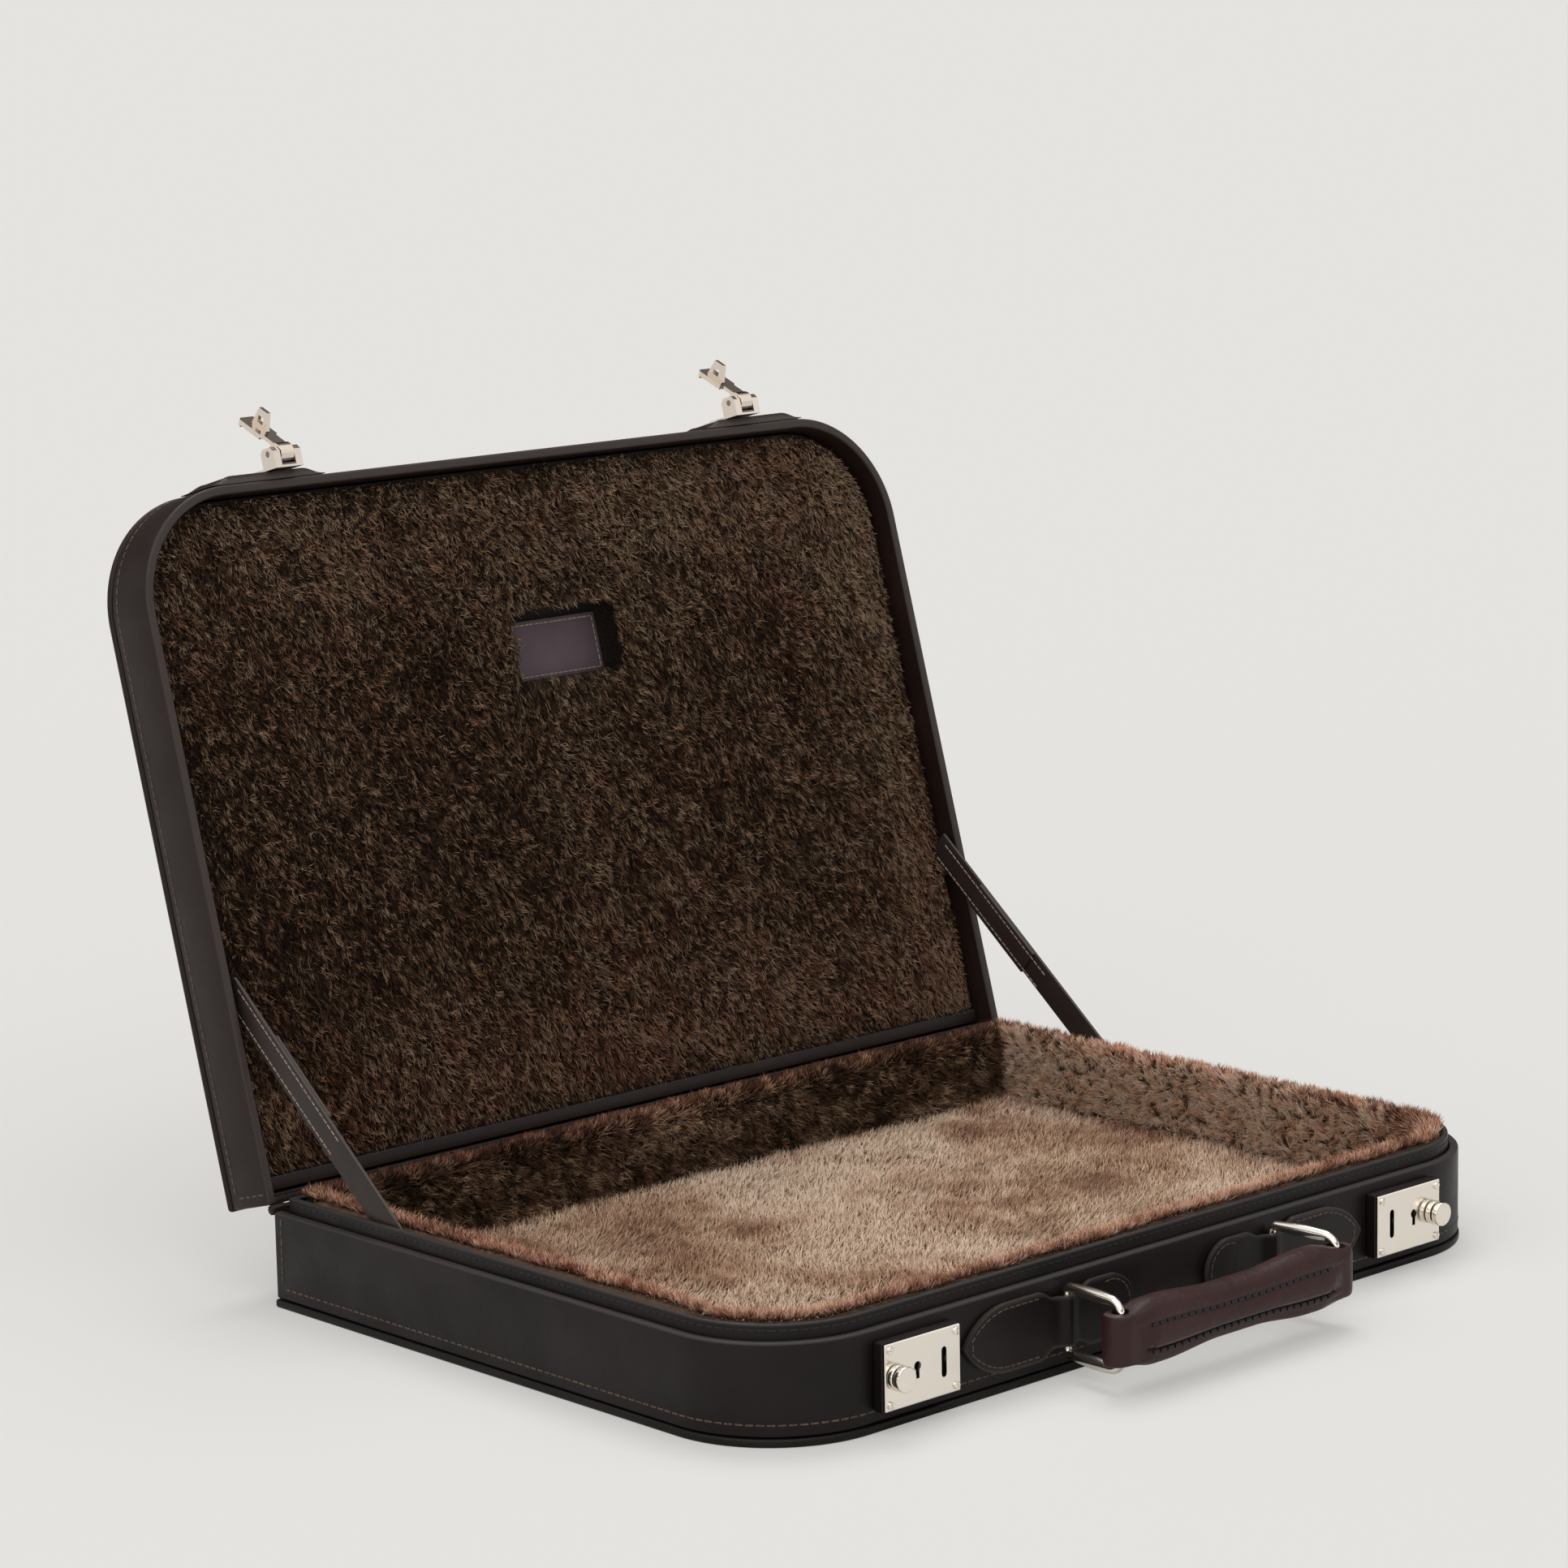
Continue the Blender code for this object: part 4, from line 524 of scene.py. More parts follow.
# Outward on the case's walls
def wallOutward(spot):
    x, y = spot[0], spot[1]
    radius, rim = case["corner"], 1.5 * mm
    centreX = np.clip(x, radius - halfWidth, halfWidth - radius)
    centreY = max(y, radius - rearY)
    away = np.array([x - centreX, min(y - centreY, 0.0), 0.0])
    if y > rearY - rim and abs(x) < halfWidth - rim:
        away = np.array([0.0, 1.0, 0.0])
    size = np.linalg.norm(away)
    return away / size if size > 1e-6 else np.array([math.copysign(1.0, x), 0.0, 0.0])


# Heights of the seams, the uprights' distance from the rear, and what stays free at the ends of each row
seams = {
    "baseLow": 0.0085, "lipHigh": 0.0428, "lidHigh": 0.0615, "upright": 0.0045,
    "uprightEnds": 0.002, "lipEnds": 0.003, "rearEnds": 0.004, "sideEnds": 0.006,
}


# The seam of a wall: round the front and sides, up beside both rear corners and across the rear
def makeWallSeam(name, height, low, high, body, turn=None):
    y, bottom, top = rearY - seams["upright"], low + seams["uprightEnds"], high - seams["uprightEnds"]
    uprights = [[(x, y, bottom), (x, y, top)] for x in (-halfWidth, halfWidth)]
    reach = halfWidth - seams["rearEnds"]
    rear = [(-reach, rearY, height), (reach, rearY, height)]
    rows = [outlineLine(0, height, seams["sideEnds"])] + uprights + [rear]
    makeSeam(name, rows, wallOutward, threadBrown, body, turn)


makeWallSeam("baseSeam", seams["baseLow"], seams["baseLow"], case["baseTop"], "base")
lipRow = outlineLine(case["lipInset"], seams["lipHigh"], seams["lipEnds"])
makeSeam("lipSeam", [lipRow], wallOutward, threadDark, "base")
makeWallSeam("lidSeam", seams["lidHigh"], case["lidRim"], seams["lidHigh"], "lid", lidTurn)
print("seams made")


# Fur

# Colours from shade to light; warm hairs are redder
furColours = {
    "taupe": ["4a3326", "93725a", "cba888", "f6dcc2"],
    "taupeWarm": ["351c13", "6e4233", "a2735c", "d8ae95"],
    "brown": ["130e0a", "3f3022", "806850", "d2b595"],
    "brownWarm": ["150a07", "472819", "835743", "cfa084"],
}


# Colour of each hair between a cool and a warm row of colours
def hairTint(tones, warms, kind):
    mixed = 0
    for key, share in ((kind, 1 - warms), (kind + "Warm", warms)):
        row = np.array([hexColour(code)[:3] for code in furColours[key]])
        at = np.linspace(0, 1, len(row))
        mixed = mixed + share[:, None] * np.stack([np.interp(tones, at, row[:, i]) for i in range(3)], 1)
    return mixed


# Hairs as thin closed spikes, three corners at the root, one at the tip. ends: how bright root and tip are
# painted, as painted shade and painted light along the hair
def makeHairs(name, hairs, width, ends, seed):
    roots, ups, leans, lengths, tints = hairs
    rng = np.random.default_rng(seed)
    count = len(roots)
    ups = ups / np.linalg.norm(ups, axis=1)[:, None]
    aside = np.cross(ups, rng.normal(size=(count, 3)))
    aside /= np.linalg.norm(aside, axis=1)[:, None]
    across = np.cross(ups, aside)
    wide = width * (0.7 + 0.6 * rng.random(count))[:, None]
    corners = np.empty((count, 4, 3))
    for k in range(3):
        angle = 2 * math.pi * k / 3
        corners[:, k] = roots + (math.cos(angle) * aside + math.sin(angle) * across) * wide * 0.5
    corners[:, 3] = roots + (ups + leans) / np.linalg.norm(ups + leans, axis=1)[:, None] * lengths[:, None]
    pattern = np.array([0, 2, 1, 0, 1, 3, 1, 2, 3, 2, 0, 3])
    loops = (np.arange(count)[:, None] * 4 + pattern).ravel()
    mesh = bpy.data.meshes.new(name)
    mesh.vertices.add(count * 4)
    mesh.vertices.foreach_set("co", corners.ravel())
    mesh.loops.add(len(loops))
    mesh.loops.foreach_set("vertex_index", loops)
    mesh.polygons.add(count * 4)
    mesh.polygons.foreach_set("loop_start", np.arange(count * 4) * 3)
    # Root and tip colours are scaled by ends: dark roots paint the shade between the hairs, bright tips paint
    # the light on them
    shade = np.array([ends[0], ends[0], ends[0], ends[1]])
    tintsWithPaintedShade = tints[:, None, :] * shade[None, :, None]
    colours = np.ones((count, 4, 4))
    colours[:, :, :3] = tintsWithPaintedShade / np.maximum(tintsWithPaintedShade.max(axis=2, keepdims=True) / 0.92, 1)
    layer = mesh.color_attributes.new("hairColour", "FLOAT_COLOR", "POINT")
    layer.data.foreach_set("color", colours.ravel().astype(np.float32))
    # A map for baking: each hair has its own small cell, root at the bottom
    side = int(math.ceil(math.sqrt(count)))
    cellX, cellY = (np.arange(count) % side) / side, (np.arange(count) // side) / side
    mapX = cellX[:, None] + np.array([0.1, 0.9, 0.5, 0.5]) / side
    mapY = cellY[:, None] + np.array([0.1, 0.1, 0.25, 0.9]) / side
    places = np.stack([mapX.ravel()[loops], mapY.ravel()[loops]], 1)
    mesh.uv_layers.new(name="OFBake").uv.foreach_set("vector", places.ravel().astype(np.float32))
    mesh.update(calc_edges=True)
    mesh.shade_smooth()
    return addObject(name, mesh)


# Splits a pile into pieces by place and finishes each. A pile with a keep gets a mesh of its own
def finishPile(name, pile, along, hairs, body, turn=None, seed=0):
    for number, chosen in enumerate(np.array_split(np.argsort(along), pile["parts"]), 1):
        label = f"{name}{number}" if pile["parts"] > 1 else name
        piece = makeHairs(label, [part[chosen] for part in hairs], pile["width"], pile["ends"], seed + number)
        finish(piece, label, pile["material"], body, turn=turn, smooth=None)
        if "keep" in pile:
            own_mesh(piece)


# Jittered points over a rectangle
def scatter(low, high, count, rng):
    wide, tall = high[0] - low[0], high[1] - low[1]
    columns = max(int(round(math.sqrt(count * wide / tall))), 1)
    rows = max(int(round(count / columns)), 1)
    gx, gy = np.meshgrid(np.arange(columns), np.arange(rows), indexing="ij")
    x = low[0] + (gx.ravel() + rng.random(columns * rows)) * wide / columns
    y = low[1] + (gy.ravel() + rng.random(columns * rows)) * tall / rows
    return x, y


# Distance from the case's outline, moved in by an inset
def edgeRoom(x, y, inset):
    radius = case["corner"] - inset
    halfX, halfY = halfWidth - inset, rearY - inset
    overX = np.maximum(np.abs(x) - (halfX - radius), 0)
    overY = np.maximum(-y - (halfY - radius), 0)
    corner = radius - np.hypot(overX, overY)
    straight = np.minimum(halfX - np.abs(x), np.minimum(halfY - y, halfY + y))
    return np.where((overX > 0) & (overY > 0), np.minimum(corner, straight), straight)


# Jittered points inside the case
def scatterInside(pile, rng):
    x, y = scatter((-halfWidth, frontY), (halfWidth, rearY), int(pile["count"] * furShare), rng)
    keep = edgeRoom(x, y, pile["inset"]) > 0
    return x[keep], y[keep]


# How far each hair is drawn to the middle of its tuft, across the surface, and its tuft's own random numbers.
# The grid of tufts is warped, so that no rows show
def tuftPull(x, y, cell, tall, seed):
    warpX = 1.6 * cell * (softNoise(x, y, 2.3 * cell, seed + 50) - 0.5)
    warpY = 1.6 * tall * (softNoise(x, y, 2.3 * tall, seed + 51) - 0.5)
    x, y = x + warpX, y + warpY
    ix, iy = np.floor(x / cell), np.floor(y / tall)
    own = np.random.default_rng(seed).random((64, 64, 3))[ix.astype(int) % 64, iy.astype(int) % 64]
    pullX = (ix + 0.15 + 0.7 * own[:, 0]) * cell - x
    pullY = (iy + 0.15 + 0.7 * own[:, 1]) * tall - y
    return pullX, pullY, own


lidPile = {
    "count": 210000, "parts": 5, "length": 0.0052, "width": 0.00048, "inset": 0.0056, "rootDepth": 0.0118,
    "windowX": (-0.0180, 0.0390), "windowReach": (0.1925, 0.2235), "labelRight": 0.0285, "edge": 0.012,
    "rear": 0.0125, "lean": (-0.32, 0.80), "tuft": (1.5 * mm, 2.5 * mm), "ends": (0.14, 2.0),
    "material": darkFur,
}


# The lid's pile, made shut and then swung open. reach is measured from the rear edge
def makeLidPile():
    rng = np.random.default_rng(41)
    x, y = scatterInside(lidPile, rng)
    reach = rearY - y
    left, right = lidPile["windowX"]
    low, high = lidPile["windowReach"]
    ragged = 3.2 * mm * (softNoise(x, y, 2.6 * mm, 4) - 0.5)
    inWindow = (x > left + ragged) & (x < right + ragged) & (reach > low + ragged) & (reach < high + ragged)
    # Hairs beside the label, in the window's recess, are kept short and painted dark: a painted shadow on the
    # recess's side
    beside = inWindow & (x > lidPile["labelRight"])
    keep = (beside | ~inWindow) & (reach > lidPile["rear"])
    x, y, reach, beside = x[keep], y[keep], reach[keep], beside[keep]
    count = len(x)
    pullX, pullY, own = tuftPull(x, y, *lidPile["tuft"], 5)
    swirl = 0.5 * (softNoise(x, y, 14 * mm, 1) - 0.5)
    flat = 1 + 0.5 * (softNoise(x, y, 20 * mm, 2) - 0.5)
    leanX = lidPile["lean"][0] * flat + swirl + pullX / (4 * mm) + 0.5 * (own[:, 0] - 0.5)
    leanY = lidPile["lean"][1] * flat * np.clip((reach - 5 * mm) / (9 * mm), 0.4, 1) + pullY / (5 * mm)
    leanY += 0.8 * (own[:, 1] - 0.5)
    leans = np.stack([leanX, leanY, np.zeros(count)], 1) + rng.normal(scale=0.2, size=(count, 3))
    ups = [rng.normal(scale=0.2, size=count), rng.normal(scale=0.2, size=count), -np.ones(count)]
    ups = np.stack(ups, 1)
    room = np.clip(edgeRoom(x, y, lidPile["inset"]) / lidPile["edge"], 0, 1)
    bulge = 1.6 * mm * room + 0.8 * mm * softNoise(x, y, 12 * mm, 3)
    roots = np.stack([x, y, case["lidRim"] + lidPile["rootDepth"] - bulge], 1)
    patch = patchwork(x, y, 8, ((55, 0.45), (18, 0.3), (5, 0.25)))
    streak = softNoise(x, y / 2.5, 2.2 * mm, 11)
    leftSide = bell(x, -0.14, 0.09) * bell(reach, 0.20, 0.10)
    nearHinge = bell(reach, 0.028, 0.03) * (0.35 + 0.65 * softNoise(x, y, 45 * mm, 12))
    farRight = bell(x, 0.19, 0.03)
    topEdge = bell(reach, 0.27, 0.05)
    flecks = 0.45 * (rng.random(count) < 0.05)
    tones = -0.09 + 0.38 * patch + 0.26 * streak + 0.70 * own[:, 2] ** 2 - 0.07 * leftSide
    tones += 0.28 * nearHinge + 0.24 * farRight + 0.24 * topEdge
    tones = np.clip(tones + flecks + rng.normal(scale=0.12, size=count) - beside, 0.0, 1)
    warms = 0.25 + 0.5 * nearHinge + 0.7 * (softNoise(x, y, 9 * mm, 14) - 0.5)
    warms += 0.4 * (softNoise(x, y, 60 * mm, 15) - 0.5)
    warms = np.clip(warms + rng.normal(scale=0.25, size=count), 0, 1)
    lengths = lidPile["length"] * (0.7 + 0.45 * rng.random(count))
    lengths = lengths * (0.62 + 0.38 * room) * (1 - 0.55 * beside)
    hairs = (roots, ups, leans, lengths, hairTint(tones, warms, "brown"))
    finishPile("lidPile", lidPile, x, hairs, "lid", lidTurn)


# The floor's roots are painted brighter than its tips: painted light that thins the shade between the hairs
floorPile = {
    "count": 120000, "parts": 3, "length": 0.0046, "width": 0.00070, "inset": 0.0115, "root": 0.0135,
    "ends": (1.15, 1.0), "material": floorFur,
}


def makeFloorPile():
    rng = np.random.default_rng(42)
    x, y = scatterInside(floorPile, rng)
    count = len(x)
    pullX, pullY, own = tuftPull(x, y, 3 * mm, 3 * mm, 6)
    lean = -0.2 + 1.6 * (softNoise(x, y, 40 * mm, 21) - 0.5) + 1.4 * (own[:, 0] - 0.5)
    side = 0.5 + 1.6 * (softNoise(x, y, 34 * mm, 22) - 0.5) + 1.4 * (own[:, 1] - 0.5)
    leans = np.stack([side + pullX / (14 * mm), lean + pullY / (14 * mm), np.zeros(count)], 1)
    leans += rng.normal(scale=0.5, size=(count, 3))
    ups = [rng.normal(scale=0.15, size=count), rng.normal(scale=0.15, size=count), np.ones(count)]
    ups = np.stack(ups, 1)
    swell = 2.2 * mm * softNoise(x, y, 26 * mm, 23) + 0.7 * mm * softNoise(x, y, 8 * mm, 28)
    roots = np.stack([x, y, floorPile["root"] + swell - 1.2 * mm], 1)
    patch = patchwork(x, y, 24, ((48, 0.5), (15, 0.32), (5, 0.18)))
    tones = 0.45 + 1.0 * (patch - 0.1) + 0.10 * (own[:, 2] - 0.5)
    tones = np.clip(tones + rng.normal(scale=0.09, size=count), 0.05, 1)
    rim = np.clip((np.abs(x) - 0.172) / 0.02, 0, 1) + np.clip((-y - 0.112) / 0.02, 0, 1)
    warms = 0.15 + 1.2 * (0.5 - patch) + 0.6 * rim + 0.3 * (softNoise(x, y, 30 * mm, 27) - 0.5)
    lengths = floorPile["length"] * (0.75 + 0.4 * rng.random(count))
    hairs = (roots, ups, leans, lengths, hairTint(tones, np.clip(warms, 0, 1), "taupe"))
    finishPile("floorPile", floorPile, x, hairs, "base", seed=10)


# What the piles of the base's walls share; each follows a line in plan
wallPile = {
    "length": 0.0060, "width": 0.00065, "low": 0.0150, "high": 0.0450, "thick": 0.0056, "topShare": 0.22,
    "keep": 0.88, "parts": 1, "kind": "taupe", "material": floorFur, "tuft": (1.8 * mm, 2.6 * mm),
    "curl": 0.5, "draw": 0.0055, "rise": -0.4, "turn": 0.9, "rimWarm": 0.5, "rimPaintedShade": -0.16, "spill": 0.8,
    "ownTone": 0.5, "ends": (0.16, 1.6), "into": None,
}


# up runs from 0 at the floor over 1 at the top's edge onto the top. into is straight off the wall
def makeWallPile(name, pile):
    seed = pile["seed"]
    rng = np.random.default_rng(seed)
    line = np.array(pile["line"], float)
    run = np.concatenate([[0], np.cumsum(np.linalg.norm(np.diff(line, axis=0), axis=1))])
    along, up = scatter((0, 0), (run[-1], 1 + pile["topShare"]), int(pile["count"] * furShare), rng)
    count = len(along)
    base = np.stack([np.interp(along, run, line[:, i]) for i in range(2)], 1)
    into = np.array([pile["into"] or -wallOutward(p)[:2] for p in base])
    over = np.clip((up - 1) / pile["topShare"], 0, 1)
    tilt = np.clip((up - 0.80) / 0.3, 0, 1)
    tall = pile["high"] - pile["low"]
    level = up * tall
    puff = 1.4 * mm * softNoise(along, level, 18 * mm, seed + 7)
    away = pile["thick"] * (1 - over) + puff * (up < 1)
    height = pile["low"] + tall * np.clip(up, 0, 1) + puff * over
    roots = np.column_stack([base + into * away[:, None], height])
    ups = np.column_stack([into * (1 - 0.8 * tilt)[:, None], (0.2 + 1.1 * tilt) * (1 - 0.5 * over)])
    ups += rng.normal(scale=0.16, size=(count, 3))
    pullA, pullB, own = tuftPull(along, level, *pile["tuft"], seed + 1)
    tangent = np.stack([-into[:, 1], into[:, 0]], 1)
    wave = (softNoise(along, level, 9 * mm, seed + 2) - 0.5) * 2 * pile["curl"]
    sideways = wave + pullA / pile["draw"] + pile["turn"] * (own[:, 0] - 0.5)
    upwards = pullB / pile["draw"] + (pile["rise"] + pile["turn"] * (own[:, 1] - 0.5)) * (1 - tilt)
    inwards = 0.1 - pile["spill"] * over
    leans = np.column_stack([tangent * sideways[:, None] + into * inwards[:, None], upwards])
    leans += rng.normal(scale=0.26, size=(count, 3))
    patch = patchwork(along, level, seed + 3, ((26, 0.5), (5, 0.5)))
    dark, spread = pile["tone"]
    # Hairs over the top edge are darkened: painted shade along the top of each wall's pile
    tones = dark + spread * patch + pile["ownTone"] * own[:, 2] ** 2 + pile["rimPaintedShade"] * tilt
    tones = np.clip(tones + rng.normal(scale=0.12, size=count), 0.0, 1)
    drift = 0.4 * (softNoise(along, level, 20 * mm, seed + 5) - 0.5)
    warms = pile["warm"] + pile["rimWarm"] * tilt + drift + rng.normal(scale=0.2, size=count)
    lengths = pile["length"] * (0.7 + 0.45 * rng.random(count)) * (1 - 0.15 * tilt - 0.1 * over)
    hairs = (roots, ups, leans, lengths, hairTint(tones, np.clip(warms, 0, 1), pile["kind"]))
    finishPile(name, pile, along, hairs, "base", seed=seed)


# The padding under the piles
padding = {
    "sideInset": 0.0096, "rearInset": 0.0072, "frontInset": 0.0076, "frontPileInset": 0.0074,
    "floorInset": 0.0075, "lidInset": 0.0047, "thick": 0.0050, "edge": 0.002, "lidEdge": 0.001,
}
innerX, innerY = halfWidth - padding["sideInset"], rearY - padding["rearInset"]
padLow, padTop = floorPile["root"] + 0.5 * mm, wallPile["high"] - 0.5 * mm
frontTurnY = frontY + case["corner"]

makeLidPile()
makeFloorPile()
floorPad = makeBoard(floorZ, floorPile["root"] + 0.2 * mm, padding["edge"], padding["floorInset"])
finishPad(floorPad, "floorPad", taupeBacking, "base", ["base_fur_floor"])
print("floor and lid fur made")

sidePadRear = innerY - padding["thick"]
rearPad = makeBlock((-innerX, sidePadRear, padLow), (innerX, innerY, padTop), padding["edge"])
finishPad(rearPad, "rearPad", darkBacking, "base", ["base_fur_rear"])
for side, word in bothSides:
    nearX, farX = sorted((side * innerX, side * (innerX - padding["thick"])))
    sidePad = makeBlock((nearX, frontTurnY + gap, padLow), (farX, sidePadRear - gap, padTop), padding["edge"])
    finishPad(sidePad, f"{word}Pad", taupeBacking, "base", [f"base_fur_{word}"])
frontPad = makeWallRing(padding["frontInset"], padding["thick"], padLow, padTop, padding["edge"])
bpy.ops.object.mode_set(mode="EDIT")
pick("VERT", lambda p: p.y > frontTurnY + 2 * mm)
bpy.ops.mesh.delete(type="VERT")
bpy.ops.mesh.select_all(action="SELECT")
bpy.ops.mesh.fill_holes(sides=0)
faceOutwards()
finishPad(frontPad, "frontPad", taupeBacking, "base", ["base_fur_front"])

# Each wall's own pile. The right wall's is curled and glossier
wallPiles = {
    "rearPile": {
        "line": [(-innerX, innerY), (innerX, innerY)], "count": 34000, "seed": 60, "kind": "brown",
        "tone": (0.02, 0.66), "warm": 0.1, "rimWarm": 0.9, "rimPaintedShade": -0.08, "spill": 0.2,
        "into": (0.0, -1.0),
    },
    "rightPile": {
        "line": [(innerX, innerY), (innerX, frontTurnY)], "count": 32000, "seed": 70, "material": curlFur,
        "tone": (-0.12, 1.25), "warm": 0.35, "curl": 1.0, "turn": 2.2, "tuft": (2.0 * mm, 2.6 * mm),
        "rise": 0.5, "ownTone": 1.7, "rimPaintedShade": -0.7, "ends": (0.30, 3.4),
    },
    "leftPile": {
        "line": [(-innerX, frontTurnY), (-innerX, innerY)], "count": 18000, "seed": 80, "tone": (0.2, 0.7),
        "warm": 0.6, "ends": (0.4, 1.6),
    },
    "frontPile": {
        "line": [p[:2] for p in outlineLine(padding["frontPileInset"], 0.0)[1:-1]], "count": 38000,
        "seed": 90, "tone": (0.2, 0.7), "warm": 0.5, "ends": (0.4, 1.6),
    },
}
for name, changes in wallPiles.items():
    makeWallPile(name, {**wallPile, **changes})
print("wall fur made")

lidFurLow = case["lidRim"] + lidPile["rootDepth"]
lidPad = makeBoard(lidFurLow - 0.5 * mm, lidWallTop - gap, padding["lidEdge"], padding["lidInset"])
(windowLeft, windowRight), (windowNear, windowFar) = lidPile["windowX"], lidPile["windowReach"]
cutWith(lidPad, makeBlock(
    (windowLeft, rearY - windowFar, lidFurLow - 2 * mm), (windowRight, rearY - windowNear, lidFurLow + 6 * mm)
))
finishPad(lidPad, "lidPad", darkBacking, "lid", ["lid_fur"], lidTurn)
print("padding made")

# A leather strip on the lid's lining beside the hinge, and gathered leather past each end of the hinge
hingeCover = {
    "strip": (0.0048, 0.0104), "thick": 0.0011, "halfLength": 0.2050, "depth": 0.0010, "edge": 0.0005,
    "radius": 0.0022, "ends": (0.2026, 0.2101), "endEdge": 0.0009, "pleats": 9,
    "pleatDepth": 0.08, "pleatTwist": 400,
}
stripTop, stripFront = lidFurLow - hingeCover["depth"], rearY - hingeCover["strip"][1]
strip = makeBlock(
    (-hingeCover["halfLength"], stripFront, stripTop - hingeCover["thick"]),
    (hingeCover["halfLength"], rearY - hingeCover["strip"][0], stripTop), hingeCover["edge"],
)
markEdge(strip, lambda x, y, z: 1.2 * (stripFront + 0.6 * mm - y) / (0.5 * mm))
finish(strip, "hingeStrip", lidLeather, "lid", turn=lidTurn)
for side, word in bothSides:
    deselect()
    inner, outer = hingeCover["ends"]
    bpy.ops.mesh.primitive_cylinder_add(
        vertices=40, radius=hingeCover["radius"], depth=outer - inner, rotation=(0, math.radians(90), 0),
        location=(side * (inner + outer) / 2, hinge.y, hinge.z),
    )
    bpy.ops.object.transform_apply(location=True, rotation=True, scale=True)
    roundEdges(hingeCover["endEdge"], 4)

    def gather(x, y, z):
        turned = hingeCover["pleats"] * np.arctan2(z - hinge.z, y - hinge.y) + hingeCover["pleatTwist"] * x
        pleat = 1 - hingeCover["pleatDepth"] * (1 + np.cos(turned))
        return x, hinge.y + (y - hinge.y) * pleat, hinge.z + (z - hinge.z) * pleat

    reshape(bpy.context.object, gather)
    finish(bpy.context.object, f"hingeEnd_{word}", lidLeather, "base", smooth=60)
print("hinge strip and ends made")


# Hardware and small leather pieces

# A round piece along Y between two places
def makeDisc(x, z, back, front, radius, edge, sides=48):
    deselect()
    bpy.ops.mesh.primitive_cylinder_add(
        vertices=sides, radius=radius, depth=abs(front - back), location=(x, (front + back) / 2, z),
        rotation=(math.radians(90), 0, 0),
    )
    bpy.ops.object.transform_apply(location=True, rotation=True, scale=True)
    roundEdges(edge)
    return bpy.context.object


# Slotted screws: a domed head with a slot at its own angle in degrees
screw = {"tall": 0.0012, "slit": 0.00045, "deep": 0.0005, "edge": 0.00035, "haspAngles": (100, 160)}
slotAngles = {"left": (82, 12, 60, 100), "right": (35, 95, 75, 20)}


def dressScrew(node, body, angle, turn=None):
    low, high = nodeBox(node, turn)
    middle = (low + high) / 2
    radius = (high.x - low.x) / 2
    head = makeDisc(middle.x, middle.z, low.y + screw["tall"], low.y, radius, screw["edge"], 32)
    corner = Vector((2 * radius, screw["deep"], screw["slit"] / 2))
    blade = makeBlock(-corner, corner)
    tilt = Matrix.Rotation(math.radians(angle), 4, "Y")
    blade.matrix_world = Matrix.Translation((middle.x, low.y, middle.z)) @ tilt
    cutWith(head, blade)
    finish(head, "dressed_" + node, nickel, body, [node], turn, smooth=30)


# Push knob and its collar, with the dark gap between them
knob = {
    "head": 0.0026, "radius": 0.0049, "shaft": 0.0022, "shaftLong": 0.0035, "edge": 0.0005,
    "collarStep": 0.0012,
}


# Insets a round face that looks along Y and pushes it along Y
def sinkFace(x, y, z, rim, depth):
    bpy.ops.object.mode_set(mode="EDIT")
    pick("FACE", lambda p: abs(p.y - y) < 0.05 * mm and math.hypot(p.x - x, p.z - z) < 0.5 * mm)
    bpy.ops.mesh.inset(thickness=rim)
    extrude((0, depth, 0))
    bpy.ops.object.mode_set(mode="OBJECT")


def dressKnob(word):
    rim = knob["edge"] + knob["shaft"]
    body = f"lock_knob_{word}"
    low, high = nodeBox(body)
    x, back = (low.x + high.x) / 2, low.y + knob["head"]
    head = makeDisc(x, lockHeight, back, low.y, knob["radius"], knob["edge"], 64)
    sinkFace(x, back, lockHeight, knob["radius"] - rim, knob["shaftLong"])
    finish(head, f"dressed_knob_{word}", nickel, body, [body], smooth=30)
    low, high = nodeBox(f"lock_collar_{word}")
    outer, step = (high.x - low.x) / 2, knob["collarStep"]
    collar = makeDisc(x, lockHeight, high.y, low.y, outer, knob["edge"], 64)
    sinkFace(x, low.y, lockHeight, outer - rim - step, step)
    finish(collar, f"dressed_collar_{word}", nickel, "base", [f"lock_collar_{word}"], smooth=30)


for word, angles in slotAngles.items():
    dressKnob(word)
    for number, angle in enumerate(angles, 1):
        dressScrew(f"lock_screw_{word}_{number}", "base", angle)
    for number, angle in enumerate(screw["haspAngles"], 1):
        dressScrew(f"hasp_screw_{word}_{number}", "lid", angle, lidTurn)
print("locks dressed")


# Strap stays, one long layer and a lap sewn on near the lid
strap = {
    "wide": 0.0125, "thick": 0.0014, "outer": 0.2028, "baseY": 0.0560, "baseZ": 0.0230, "lidReach": 0.089,
    "lidDepth": 0.0078, "lap": (0.53, 0.80), "steps": 40, "edge": 0.0004, "seamInset": 0.0022,
    "seam": (0.46, 0.97),
}


# The frame of a strap: X across its thickness, Y across its width, Z along it
def strapPlace(start, end):
    along = (end - start).normalized()
    across = along.cross(Vector((1, 0, 0))).normalized()
    return Matrix.Translation(start) @ Matrix((Vector((1, 0, 0)), across, along)).transposed().to_4x4()


